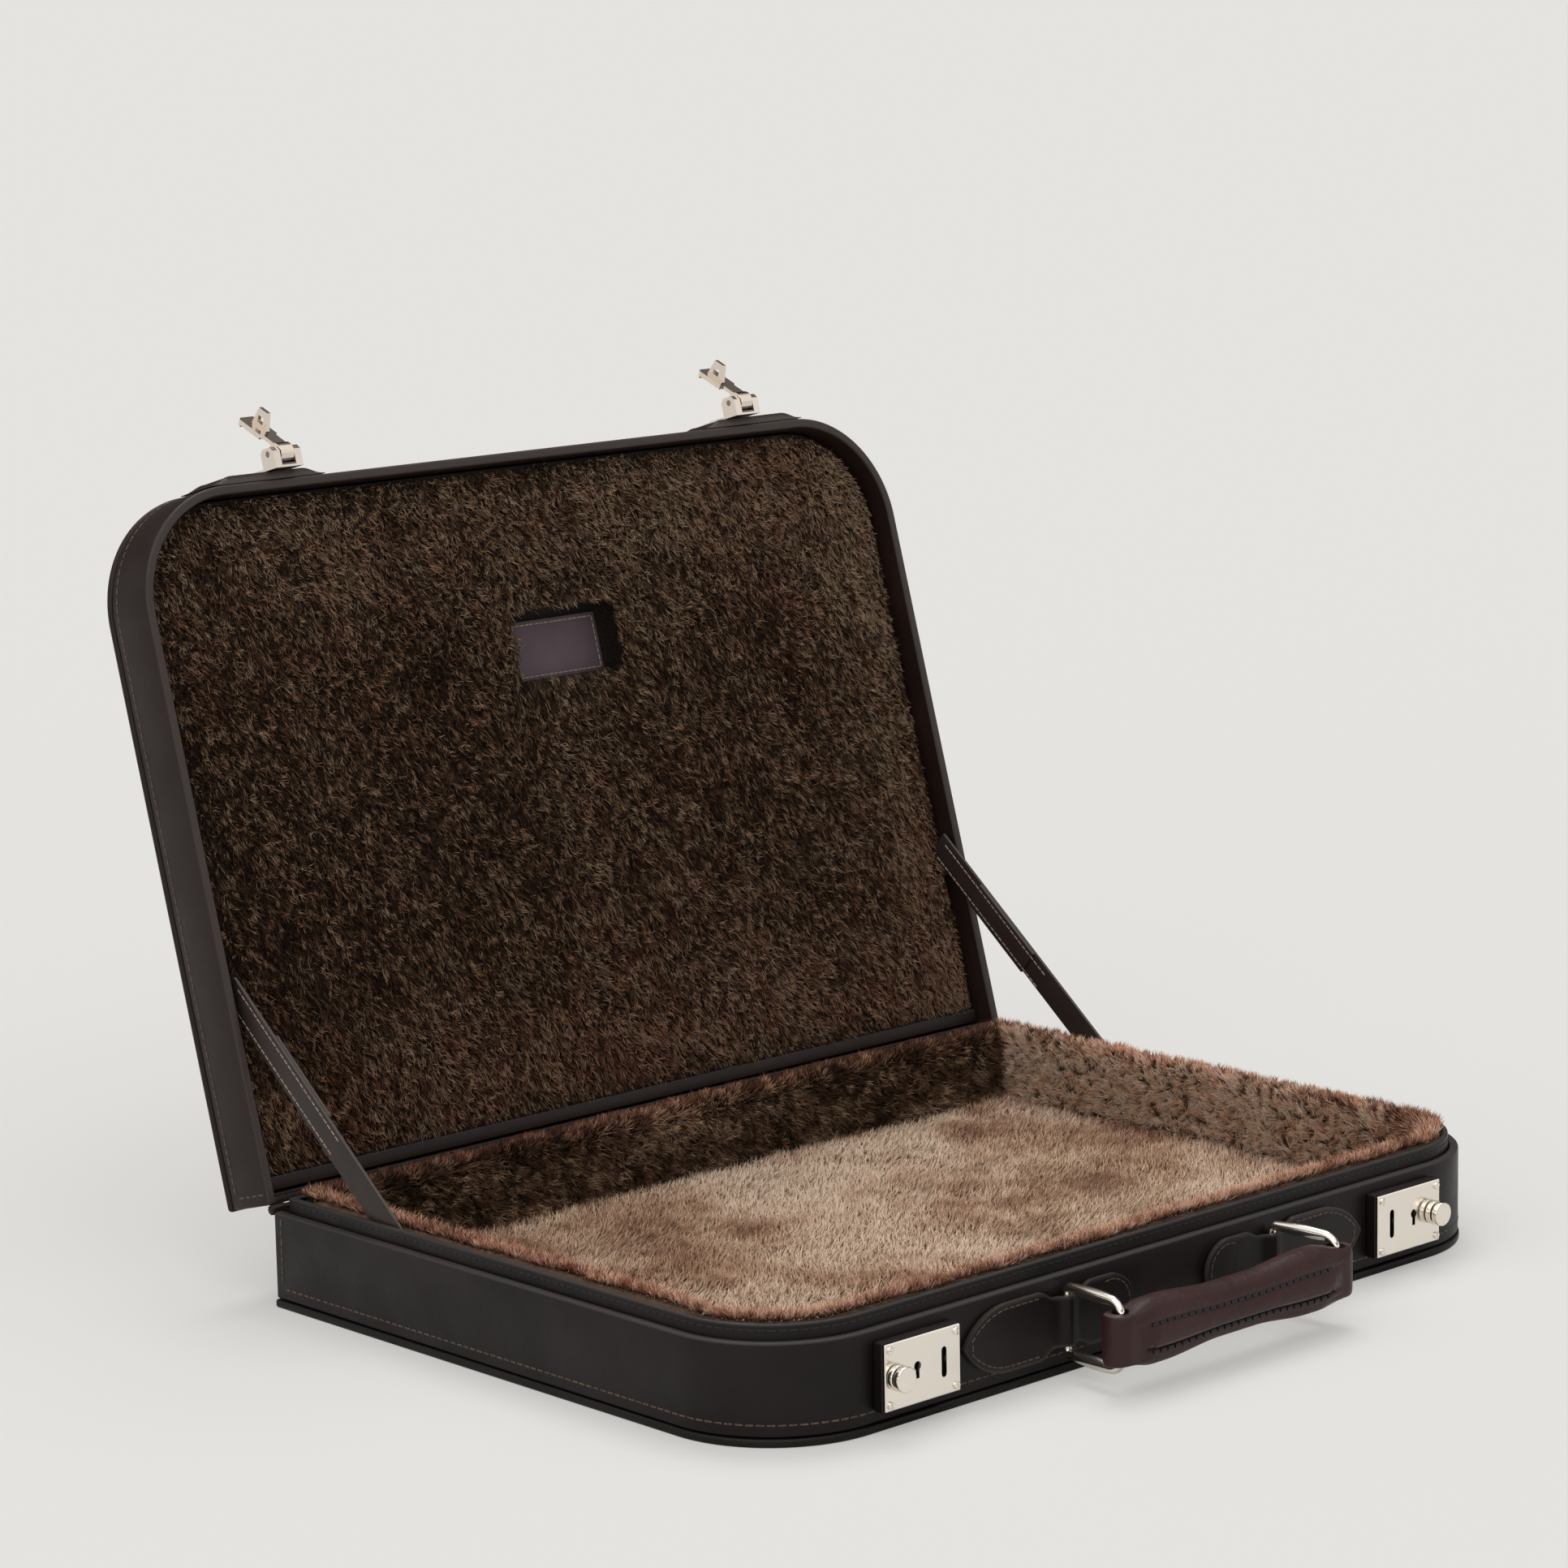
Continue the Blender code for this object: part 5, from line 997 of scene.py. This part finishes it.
# One layer of strap along Z, then laid between the two ends
def strapLayer(name, start, end, shares, offset):
    deselect()
    length = (end - start).length
    bpy.ops.mesh.primitive_plane_add(size=1, enter_editmode=True, location=(0, 0, 0))
    bpy.ops.transform.resize(value=(strap["thick"], strap["wide"], 1), center_override=(0, 0, 0))
    bpy.ops.transform.translate(value=(offset, 0, shares[0] * length))
    for step in range(strap["steps"]):
        extrude((0, 0, (shares[1] - shares[0]) * length / strap["steps"]))
    faceOutwards()
    roundEdges(strap["edge"])
    layer = bpy.context.object
    markEdge(layer, lambda x, y, z: (np.abs(y) - strap["wide"] / 2 + 0.5 * mm) / (0.35 * mm))
    layer.data.transform(strapPlace(start, end))
    return finish(layer, name, lidLeather, "base", ride=False)


for side, word in bothSides:
    strapStart = Vector((side * (strap["outer"] - strap["thick"] / 2), strap["baseY"], strap["baseZ"]))
    strapEnd = lidTurn @ Vector((strapStart.x, rearY - strap["lidReach"], case["lidRim"] + strap["lidDepth"]))
    main = strapLayer(f"strap_{word}", strapStart, strapEnd, (0, 1), 0)
    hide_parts(f"stay_{word}")
    lap = strapLayer(f"strapLap_{word}", strapStart, strapEnd, strap["lap"], -side * strap["thick"])
    place = strapPlace(strapStart, strapEnd)
    length = (strapEnd - strapStart).length
    rows = []
    for face in (-1, 1):
        depth = face * strap["thick"] / 2 - (side * strap["thick"] if face == -side else 0)
        for row in (-1, 1):
            across = row * (strap["wide"] / 2 - strap["seamInset"])
            rows.append([tuple(place @ Vector((depth, across, share * length))) for share in strap["seam"]])
    seam = makeSeam(
        f"strapSeam_{word}", rows, lambda spot: (1.0 if spot[0] > strapStart.x else -1.0, 0, 0), threadPale,
        "base", size=0.8, ride=False,
    )
    for piece in (main, lap, seam):
        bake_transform(piece)
print("straps made")


# Handle tabs: a leaf outside the ring, a tunnel over the ring's bar, a round end inside
tab = {
    "tip": 0.1132, "end": 0.0212, "belly": 0.0900, "half": 0.0134, "endHalf": 0.0127, "neckHalf": 0.0098,
    "neck": 0.0062, "thick": 0.0022, "edge": 0.0005, "ringX": 0.0585, "ridge": 0.0035, "ridgeWide": 0.0034,
    "seamInset": 0.0021,
}


# Half height of a tab at a distance from the case's middle
def tabHalf(along):
    reach = tab["tip"] - tab["belly"]
    radius = (reach ** 2 + tab["half"] ** 2) / (2 * tab["half"])
    past = np.maximum(along - tab["belly"], 0)
    leaf = tab["half"] - radius + np.sqrt(np.maximum(radius ** 2 - past ** 2, 0))
    centre = tab["end"] + tab["endHalf"]
    roundEnd = np.sqrt(np.maximum(tab["endHalf"] ** 2 - np.minimum(along - centre, 0) ** 2, 0))
    widen = ease((np.abs(along - tab["ringX"]) - tab["neck"]) / (1.3 * tab["neck"]))
    outer = tab["neckHalf"] + (leaf - tab["neckHalf"]) * widen
    inner = tab["neckHalf"] + (roundEnd - tab["neckHalf"]) * widen
    return np.maximum(np.where(along > tab["ringX"], outer, inner), 0)


def tabFace(along):
    return frontY - gap - tab["thick"] - tab["ridge"] * bell(along, tab["ringX"], tab["ridgeWide"])


def makeTab(side, word):
    deselect()
    bpy.ops.mesh.primitive_grid_add(x_subdivisions=140, y_subdivisions=14, size=2, location=(0, 0, 0))
    piece = bpy.context.object
    middle, reach = (tab["tip"] + tab["end"]) / 2, (tab["tip"] - tab["end"]) / 2

    def shape(x, y, z):
        along = middle + reach * np.sin(x * math.pi / 2)
        return side * along, tabFace(along), lockHeight + y * tabHalf(along)

    reshape(piece, shape)
    bpy.ops.object.mode_set(mode="EDIT")
    bpy.ops.mesh.select_all(action="SELECT")
    bpy.ops.mesh.remove_doubles(threshold=0.00003)
    faceOutwards()
    if piece.data.polygons[len(piece.data.polygons) // 2].normal.y > 0:
        piece.data.flip_normals()
    useModifier("SOLIDIFY", thickness=tab["thick"] * 0.9, offset=-1)
    roundEdges(tab["edge"], 3, 60)
    markEdge(piece, lambda x, y, z: (np.abs(z - lockHeight) - tabHalf(np.abs(x)) + 0.7 * mm) / (0.5 * mm))
    finish(piece, f"tab_{word}", shellLeather, "base", [f"handle_tab_{word}"])
    inset = tab["seamInset"]
    outer = np.linspace(tab["ringX"] + 2.4 * tab["neck"], tab["tip"] - 2 * inset, 24)
    heights = [max(float(tabHalf(a + 0.3 * inset)) - inset, 0) for a in outer]
    leafTop = [(side * a, tabFace(a), lockHeight + h) for a, h in zip(outer, heights)]
    leafLow = [(x, y, 2 * lockHeight - z) for x, y, z in leafTop[::-1]]
    centre, radius = tab["end"] + tab["endHalf"], tab["endHalf"] - inset
    turns = np.radians(np.linspace(70, 290, 30))
    ends = [(centre + radius * math.cos(t), radius * math.sin(t)) for t in turns]
    roundEnd = [(side * a, tabFace(a), lockHeight + h) for a, h in ends]
    rows = [leafTop + leafLow, roundEnd]
    makeSeam(f"tabSeam_{word}", rows, lambda spot: (0, -1, 0), threadBrown, "base", size=0.8)


# Nickel rings, thicker along the upper and lower bars
ring = {
    "splay": 0.003, "axisY": frontY - 0.0028, "reach": 0.0306, "half": 0.0132, "wire": 0.0017, "swell": 0.55,
    "corner": 0.0055, "rootCorner": 0.0022, "cornerSteps": 12,
}


# The ring's path as reach from the root and height, with round corners
def ringPath():
    reach, half, near, far = ring["reach"], ring["half"], ring["rootCorner"], ring["corner"]
    path = []
    corners = ((0, -1, near, 180), (reach, -1, far, 270), (reach, 1, far, 0), (0, 1, near, 90))
    for at, sign, radius, first in corners:
        centre = (radius if at == 0 else reach - radius, sign * (half - radius))
        for step in range(ring["cornerSteps"] + 1):
            angle = math.radians(first + 90 * step / ring["cornerSteps"])
            path.append((centre[0] + radius * math.cos(angle), centre[1] + radius * math.sin(angle)))
        if first in (180, 0):
            ends = (near, reach - far)
            run = np.linspace(*(ends if first == 180 else ends[::-1]), 14)[1:-1]
            path += [(r, sign * half) for r in run]
    return path


def makeRing(side, word):
    shape = bpy.data.curves.new("ringShape", "CURVE")
    shape.dimensions = "3D"
    shape.bevel_depth = ring["wire"]
    shape.bevel_resolution = 8
    spline = shape.splines.new("POLY")
    path = ringPath()
    spline.points.add(len(path) - 1)
    spline.use_cyclic_u = True
    for point, (reach, height) in zip(spline.points, path):
        x = side * (tab["ringX"] + ring["splay"] * reach / ring["reach"])
        point.co = (x, ring["axisY"] - reach, lockHeight + height, 1)
        beside = min(max((abs(height) - ring["half"] + ring["corner"]) / ring["corner"], 0), 1)
        point.radius = 1 + ring["swell"] * beside * math.sin(math.pi * reach / ring["reach"]) ** 1.2
    makeActive(addObject(f"loop_{word}", shape))
    bpy.ops.object.convert(target="MESH")
    finish(bpy.context.object, f"loop_{word}", nickel, f"ring_{word}", [f"ring_{word}"], smooth=60)


for side, word in bothSides:
    makeTab(side, word)
    makeRing(side, word)
print("tabs and rings made")


# The grip: padded and waisted, with a fold along it, a lower band and a loop at each end
grip = {
    "left": -0.0690, "right": 0.0676, "y": ring["axisY"] - ring["reach"], "loopRadius": 0.0068,
    "loopHalf": 0.0100, "bores": ((-0.0622, 0.0034), (0.0608, 0.0040)), "depth": 0.0080,
    "shoulder": 0.0130, "waist": 0.0106, "foldShare": -0.42, "seamShares": (0.34, -0.50),
    "seamReach": 0.76, "seamLift": 0.00035, "stations": 150, "sides": 72,
}
gripMiddle, gripHalf = (grip["left"] + grip["right"]) / 2, (grip["right"] - grip["left"]) / 2


# Half height, half depth and squareness of the grip along X
def gripSection(x):
    share = np.abs(x - gripMiddle) / gripHalf
    rise = ease((share - 0.15) / 0.45)
    fall = ease((share - 0.68) / 0.24)
    height = grip["waist"] + (grip["shoulder"] - grip["waist"]) * rise
    height = height + (grip["loopHalf"] - height) * fall
    depth = grip["depth"] + (grip["loopRadius"] - grip["depth"]) * ease((share - 0.7) / 0.15)
    fromEnd = np.clip((1 - share) * gripHalf / grip["loopRadius"], 0, 1)
    depth = depth * np.sqrt(np.maximum(1 - (1 - fromEnd) ** 2, 0))
    return share, height, depth, 0.80 - 0.50 * fall


# How far the face lies in or out of the plain section: fold, its lip, a long ridge and pleats at the loops
def gripRelief(share, level, height):
    fade = 1 - ease((share - 0.74) / 0.1)
    fromFold = (level - grip["foldShare"]) * height / mm
    fold = -1.3 * bell(fromFold, 0, 0.6) + 0.6 * bell(fromFold, 1.3, 0.6)
    ridge = bell((level + 0.08) * height, 0, 2.6 * mm)
    channel = -0.7 * bell((level - grip["seamShares"][0]) * height, 0, 1.4 * mm)
    pleats = 0.28 * np.cos(level * height * 2 * math.pi / (3.1 * mm)) * bell(share, 0.8, 0.06)
    return ((fold + ridge + channel) * fade + pleats) * mm


def gripFace(x, level):
    share, height, depth, power = gripSection(x)
    plain = depth * np.maximum(1 - np.abs(level) ** (2 / power), 0) ** (power / 2)
    return plain + gripRelief(share, level, height) * np.minimum(plain / (2 * mm), 1)


def makeGrip():
    deselect()
    bpy.ops.mesh.primitive_circle_add(
        vertices=grip["sides"], radius=1, enter_editmode=True, rotation=(0, math.radians(90), 0)
    )
    bpy.ops.mesh.select_mode(type="EDGE")
    bpy.ops.mesh.select_all(action="SELECT")
    for step in range(grip["stations"]):
        bpy.ops.mesh.extrude_edges_move(TRANSFORM_OT_translate={"value": (1, 0, 0)})
    bpy.ops.object.mode_set(mode="OBJECT")
    piece = bpy.context.object
    bpy.ops.object.transform_apply(location=True, rotation=True, scale=True)

    def shape(x, y, z):
        across = np.arctan2(z, y)
        along = gripMiddle - gripHalf * np.cos(x / grip["stations"] * math.pi)
        share, height, depth, power = gripSection(along)
        level = np.sign(np.sin(across)) * np.abs(np.sin(across)) ** power
        face = gripFace(along, level) * np.sign(np.cos(across)) * (np.abs(np.cos(across)) > 1e-4)
        return along, grip["y"] + face, lockHeight + level * height

    reshape(piece, shape)
    bpy.ops.object.mode_set(mode="EDIT")
    bpy.ops.mesh.select_all(action="SELECT")
    bpy.ops.mesh.remove_doubles(threshold=0.000005)
    faceOutwards()
    for place, radius in grip["bores"]:
        deselect()
        bpy.ops.mesh.primitive_cylinder_add(
            vertices=48, radius=radius, depth=0.05, location=(place, grip["y"], lockHeight)
        )
        cutWith(piece, bpy.context.object)

    # Lighter along the lip of the fold, a painted highlight, and at the loops' ends, where the leather is
    # burnished
    def rim(x, y, z):
        share, height, depth, power = gripSection(x)
        level = (z - lockHeight) / height
        lip = bell((level - grip["foldShare"]) * height, 0.9 * mm, 0.35 * mm) * (share < 0.78)
        ends = ease((share - 0.94) / 0.05) * ease((np.abs(level) - 0.93) / 0.05)
        return 0.8 * lip + 0.5 * ends

    markEdge(piece, rim)
    finish(piece, "grip", gripLeather, "handle", ["handle_grip"], smooth=50)

    def seamSpot(x, level, face):
        depth = float(gripFace(x, level)) + grip["seamLift"]
        return x, grip["y"] + face * depth, lockHeight + level * float(gripSection(x)[1])

    reach = grip["seamReach"] * gripHalf
    along = np.linspace(gripMiddle - reach, gripMiddle + reach, 60)
    rows = [[seamSpot(x, level, face) for x in along] for level in grip["seamShares"] for face in (-1, 1)]
    makeSeam(
        "gripSeam", rows, lambda spot: (0, spot[1] - grip["y"], 0.4 * (spot[2] - lockHeight)), threadDark,
        "handle", fat=2.0,
    )


makeGrip()
print("grip made")


# Sloped leather pads under the hasps
haspPad = {
    "ends": 0.011, "sides": 0.0015, "sideStart": 0.35, "lift": 0.0007, "thin": 0.00035, "seamInset": 0.0022,
}


def makeHaspPad(word):
    low, high = nodeBox(f"hasp_pad_{word}", lidTurn)
    low.z += haspPad["lift"]
    middle, half = (low + high) / 2, (high - low) / 2
    deselect()
    bpy.ops.mesh.primitive_grid_add(
        x_subdivisions=60, y_subdivisions=24, size=2, enter_editmode=True, location=(0, 0, 0)
    )
    bpy.ops.mesh.select_all(action="SELECT")
    extrude((0, 0, 1))
    bpy.ops.object.mode_set(mode="OBJECT")
    piece = bpy.context.object

    def faceAt(fromEnd, fromSide):
        slope = ease(fromEnd / haspPad["ends"]) * ease(fromSide / haspPad["sides"] + haspPad["sideStart"])
        return high.y - haspPad["thin"] - (high.y - low.y - haspPad["thin"]) * slope

    def shape(x, y, z):
        front = faceAt((1 - np.abs(x)) * half.x, (1 - np.abs(y)) * half.z)
        return middle.x + x * half.x, np.where(z > 0.5, front, high.y), middle.z - y * half.z

    reshape(piece, shape)
    bpy.ops.object.mode_set(mode="EDIT")
    faceOutwards()
    markEdge(piece, lambda x, y, z: 1.2 * (low.z + 0.6 * mm - z) / (0.6 * mm))
    finish(piece, f"haspPad_{word}", lidLeather, "lid", [f"hasp_pad_{word}"], lidTurn, smooth=60)
    inset = haspPad["seamInset"]
    along = np.linspace(low.x + inset, high.x - inset, 40)
    faces = faceAt(half.x - np.abs(along - middle.x), inset)
    rows = [[(x, y, z) for x, y in zip(along, faces)] for z in (low.z + inset, high.z - inset)]
    name = f"haspPadSeam_{word}"
    makeSeam(name, rows, lambda spot: (0, -1, 0), threadBrown, "lid", lidTurn, size=0.8)


for word in ("left", "right"):
    makeHaspPad(word)


# The label: a bare leather plate with a stitched edge
labelLook = {"edge": 0.0004, "seamInset": 0.0018}


def makeLabel():
    low, high = nodeBox("lid_label", lidTurn)
    plate = makeBlock(low, high, labelLook["edge"])
    finish(plate, "label", labelLeather, "lid", ["lid_label"], lidTurn)
    left, near = low.x + labelLook["seamInset"], low.y + labelLook["seamInset"]
    right, far = high.x - labelLook["seamInset"], high.y - labelLook["seamInset"]
    box = [(left, near, low.z), (right, near, low.z), (right, far, low.z), (left, far, low.z)]
    rows = [[box[i], box[(i + 1) % 4]] for i in range(4)]
    makeSeam(
        "labelSeam", rows, lambda spot: (0, 0, -1), threadPale, "lid", lidTurn, size=0.7
    )


makeLabel()
print("pads and label made")


# CAD nodes that keep their shape

slotLooks = {
    "leather": shellLeather, "grip_leather": gripLeather, "label_leather": labelLeather, "nickel": nickel,
    "steel": darkSteel, "floor_fur": taupeBacking, "wall_fur": taupeBacking, "lid_fur": darkBacking,
}
ownLooks = {"hinge_leaf_base": lidLeather, "hinge_leaf_lid": lidLeather, "hinge_pin": lidLeather}
for word in ("left", "right"):
    ownLooks.update({
        f"hasp_pad_{word}": lidLeather, f"hasp_plate_{word}": haspNickel, f"hasp_flap_{word}": haspNickel,
    })
slotOf = {row["node"]: row["material_slot"] for row in frame["record"]["subparts"]}
for nodeName, node in frame["nodes"].items():
    node.data.materials.clear()
    node.data.materials.append(ownLooks.get(nodeName, slotLooks[slotOf[nodeName]]))


# Camera, stage and light

view = {
    "azimuth": -43.0, "elevation": 10.3, "roll": -1.1, "distance": 1.9365,
    "target": (-0.0170, 0.0478, 0.1986), "lens": 109.3, "sensor": 36.0, "farthest": 500.0,
}
azimuth, elevation, roll = (math.radians(view[key]) for key in ("azimuth", "elevation", "roll"))
level = math.cos(elevation)
back = Vector((math.sin(azimuth) * level, -math.cos(azimuth) * level, math.sin(elevation)))
right = Vector((0, 0, 1)).cross(back).normalized()
up = back.cross(right)
right, up = math.cos(roll) * right + math.sin(roll) * up, -math.sin(roll) * right + math.cos(roll) * up
camera = addObject("camera", bpy.data.cameras.new("camera"))
eye = Matrix.Translation(Vector(view["target"]) + back * view["distance"])
camera.matrix_world = eye @ Matrix((right, up, back)).transposed().to_4x4()
camera.data.lens = view["lens"]
camera.data.sensor_width = view["sensor"]
camera.data.clip_end = view["farthest"]
scene = bpy.context.scene
scene.camera = camera

# Pale paper, matt. Camera rays see part of it as a plain glow, so that it stays as pale as the backdrop
stage = {"size": 160, "paper": "e5e4e1", "backdrop": "e5e3df", "glow": 0.4}
deselect()
bpy.ops.mesh.primitive_plane_add(size=stage["size"], location=(0, 0, 0))
floor = bpy.context.object
floor.name = "floor"
paper, tree, shader = newMaterial("palePaper")
setInputs(tree, shader, {
    "Base Color": hexColour(stage["paper"]), "Roughness": 0.9, "Specular IOR Level": 0.0,
})
glow = addNode(tree, "Emission", {"Color": hexColour(stage["backdrop"]), "Strength": 1.0}).outputs["Emission"]
seen = addNode(tree, "LightPath").outputs["Is Camera Ray"]
lift = addNode(tree, "Math", {0: seen, 1: stage["glow"]}, operation="MULTIPLY").outputs["Value"]
paperMix = addNode(tree, "MixShader", {0: lift, 1: shader.outputs["BSDF"], 2: glow})
setInputs(tree, tree.nodes["Material Output"], {"Surface": paperMix.outputs["Shader"]})
floor.data.materials.append(paper)

# The studio: pale with a dark band, darker behind the case, a little stronger in reflections
studio = {
    "sky": [
        (0.0, "5c5854"), (0.08, "5c5854"), (0.13, "f4f2ee"), (0.32, "ffffff"), (0.37, "545150"),
        (0.50, "545150"), (0.56, "ffffff"),
    ],
    "behind": (0.67, 0.72, 0.0), "shade": [(0.35, "ffffff"), (0.62, "6a6662")], "strength": (0.80, 1.0),
}
world = bpy.data.worlds.new("studio")
scene.world = world
world.use_nodes = True
tree = world.node_tree
rays = addNode(tree, "LightPath").outputs
direction = addNode(tree, "TexCoord").outputs["Generated"]
height = addNode(tree, "SeparateXYZ", {"Vector": direction}).outputs["Z"]
sky = addNode(tree, "ValToRGB", {"Fac": height}, studio["sky"]).outputs["Color"]
behind = addNode(tree, "VectorMath", {0: direction, 1: studio["behind"]}, operation="DOT_PRODUCT")
shade = addNode(tree, "ValToRGB", {"Fac": behind.outputs["Value"]}, studio["shade"]).outputs["Color"]
shaded = addNode(tree, "Mix", {"Factor": 1.0, 6: sky, 7: shade}, data_type="RGBA", blend_type="MULTIPLY")
dim, bright = studio["strength"]
strength = addNode(tree, "MapRange", {"Value": rays["Is Glossy Ray"], "To Min": dim, "To Max": bright})
background = tree.nodes["Background"]
setInputs(tree, background, {"Color": shaded.outputs[2], "Strength": strength.outputs["Result"]})
# Past the floor's edge the camera sees the backdrop's own pale colour
backdrop = addNode(tree, "Background", {"Color": hexColour(stage["backdrop"]), "Strength": 1.0})
skyMix = addNode(tree, "MixShader", {
    0: rays["Is Camera Ray"], 1: background.outputs[0], 2: backdrop.outputs[0],
})
setInputs(tree, tree.nodes["World Output"], {"Surface": skyMix.outputs["Shader"]})

suns = {
    "key": {"energy": 0.95, "angle": 32, "from": (0.36, 0.40, 1.0)},
    "fill": {"energy": 0.75, "angle": 80, "from": (-0.85, -0.45, 0.9)},
}
for name, sun in suns.items():
    lamp = addObject(name, bpy.data.lights.new(name, "SUN"))
    lamp.data.energy = sun["energy"]
    lamp.data.angle = math.radians(sun["angle"])
    lamp.rotation_euler = Vector(sun["from"]).to_track_quat("Z", "Y").to_euler()

scene.view_settings.view_transform = "Standard"
print("scene ready")
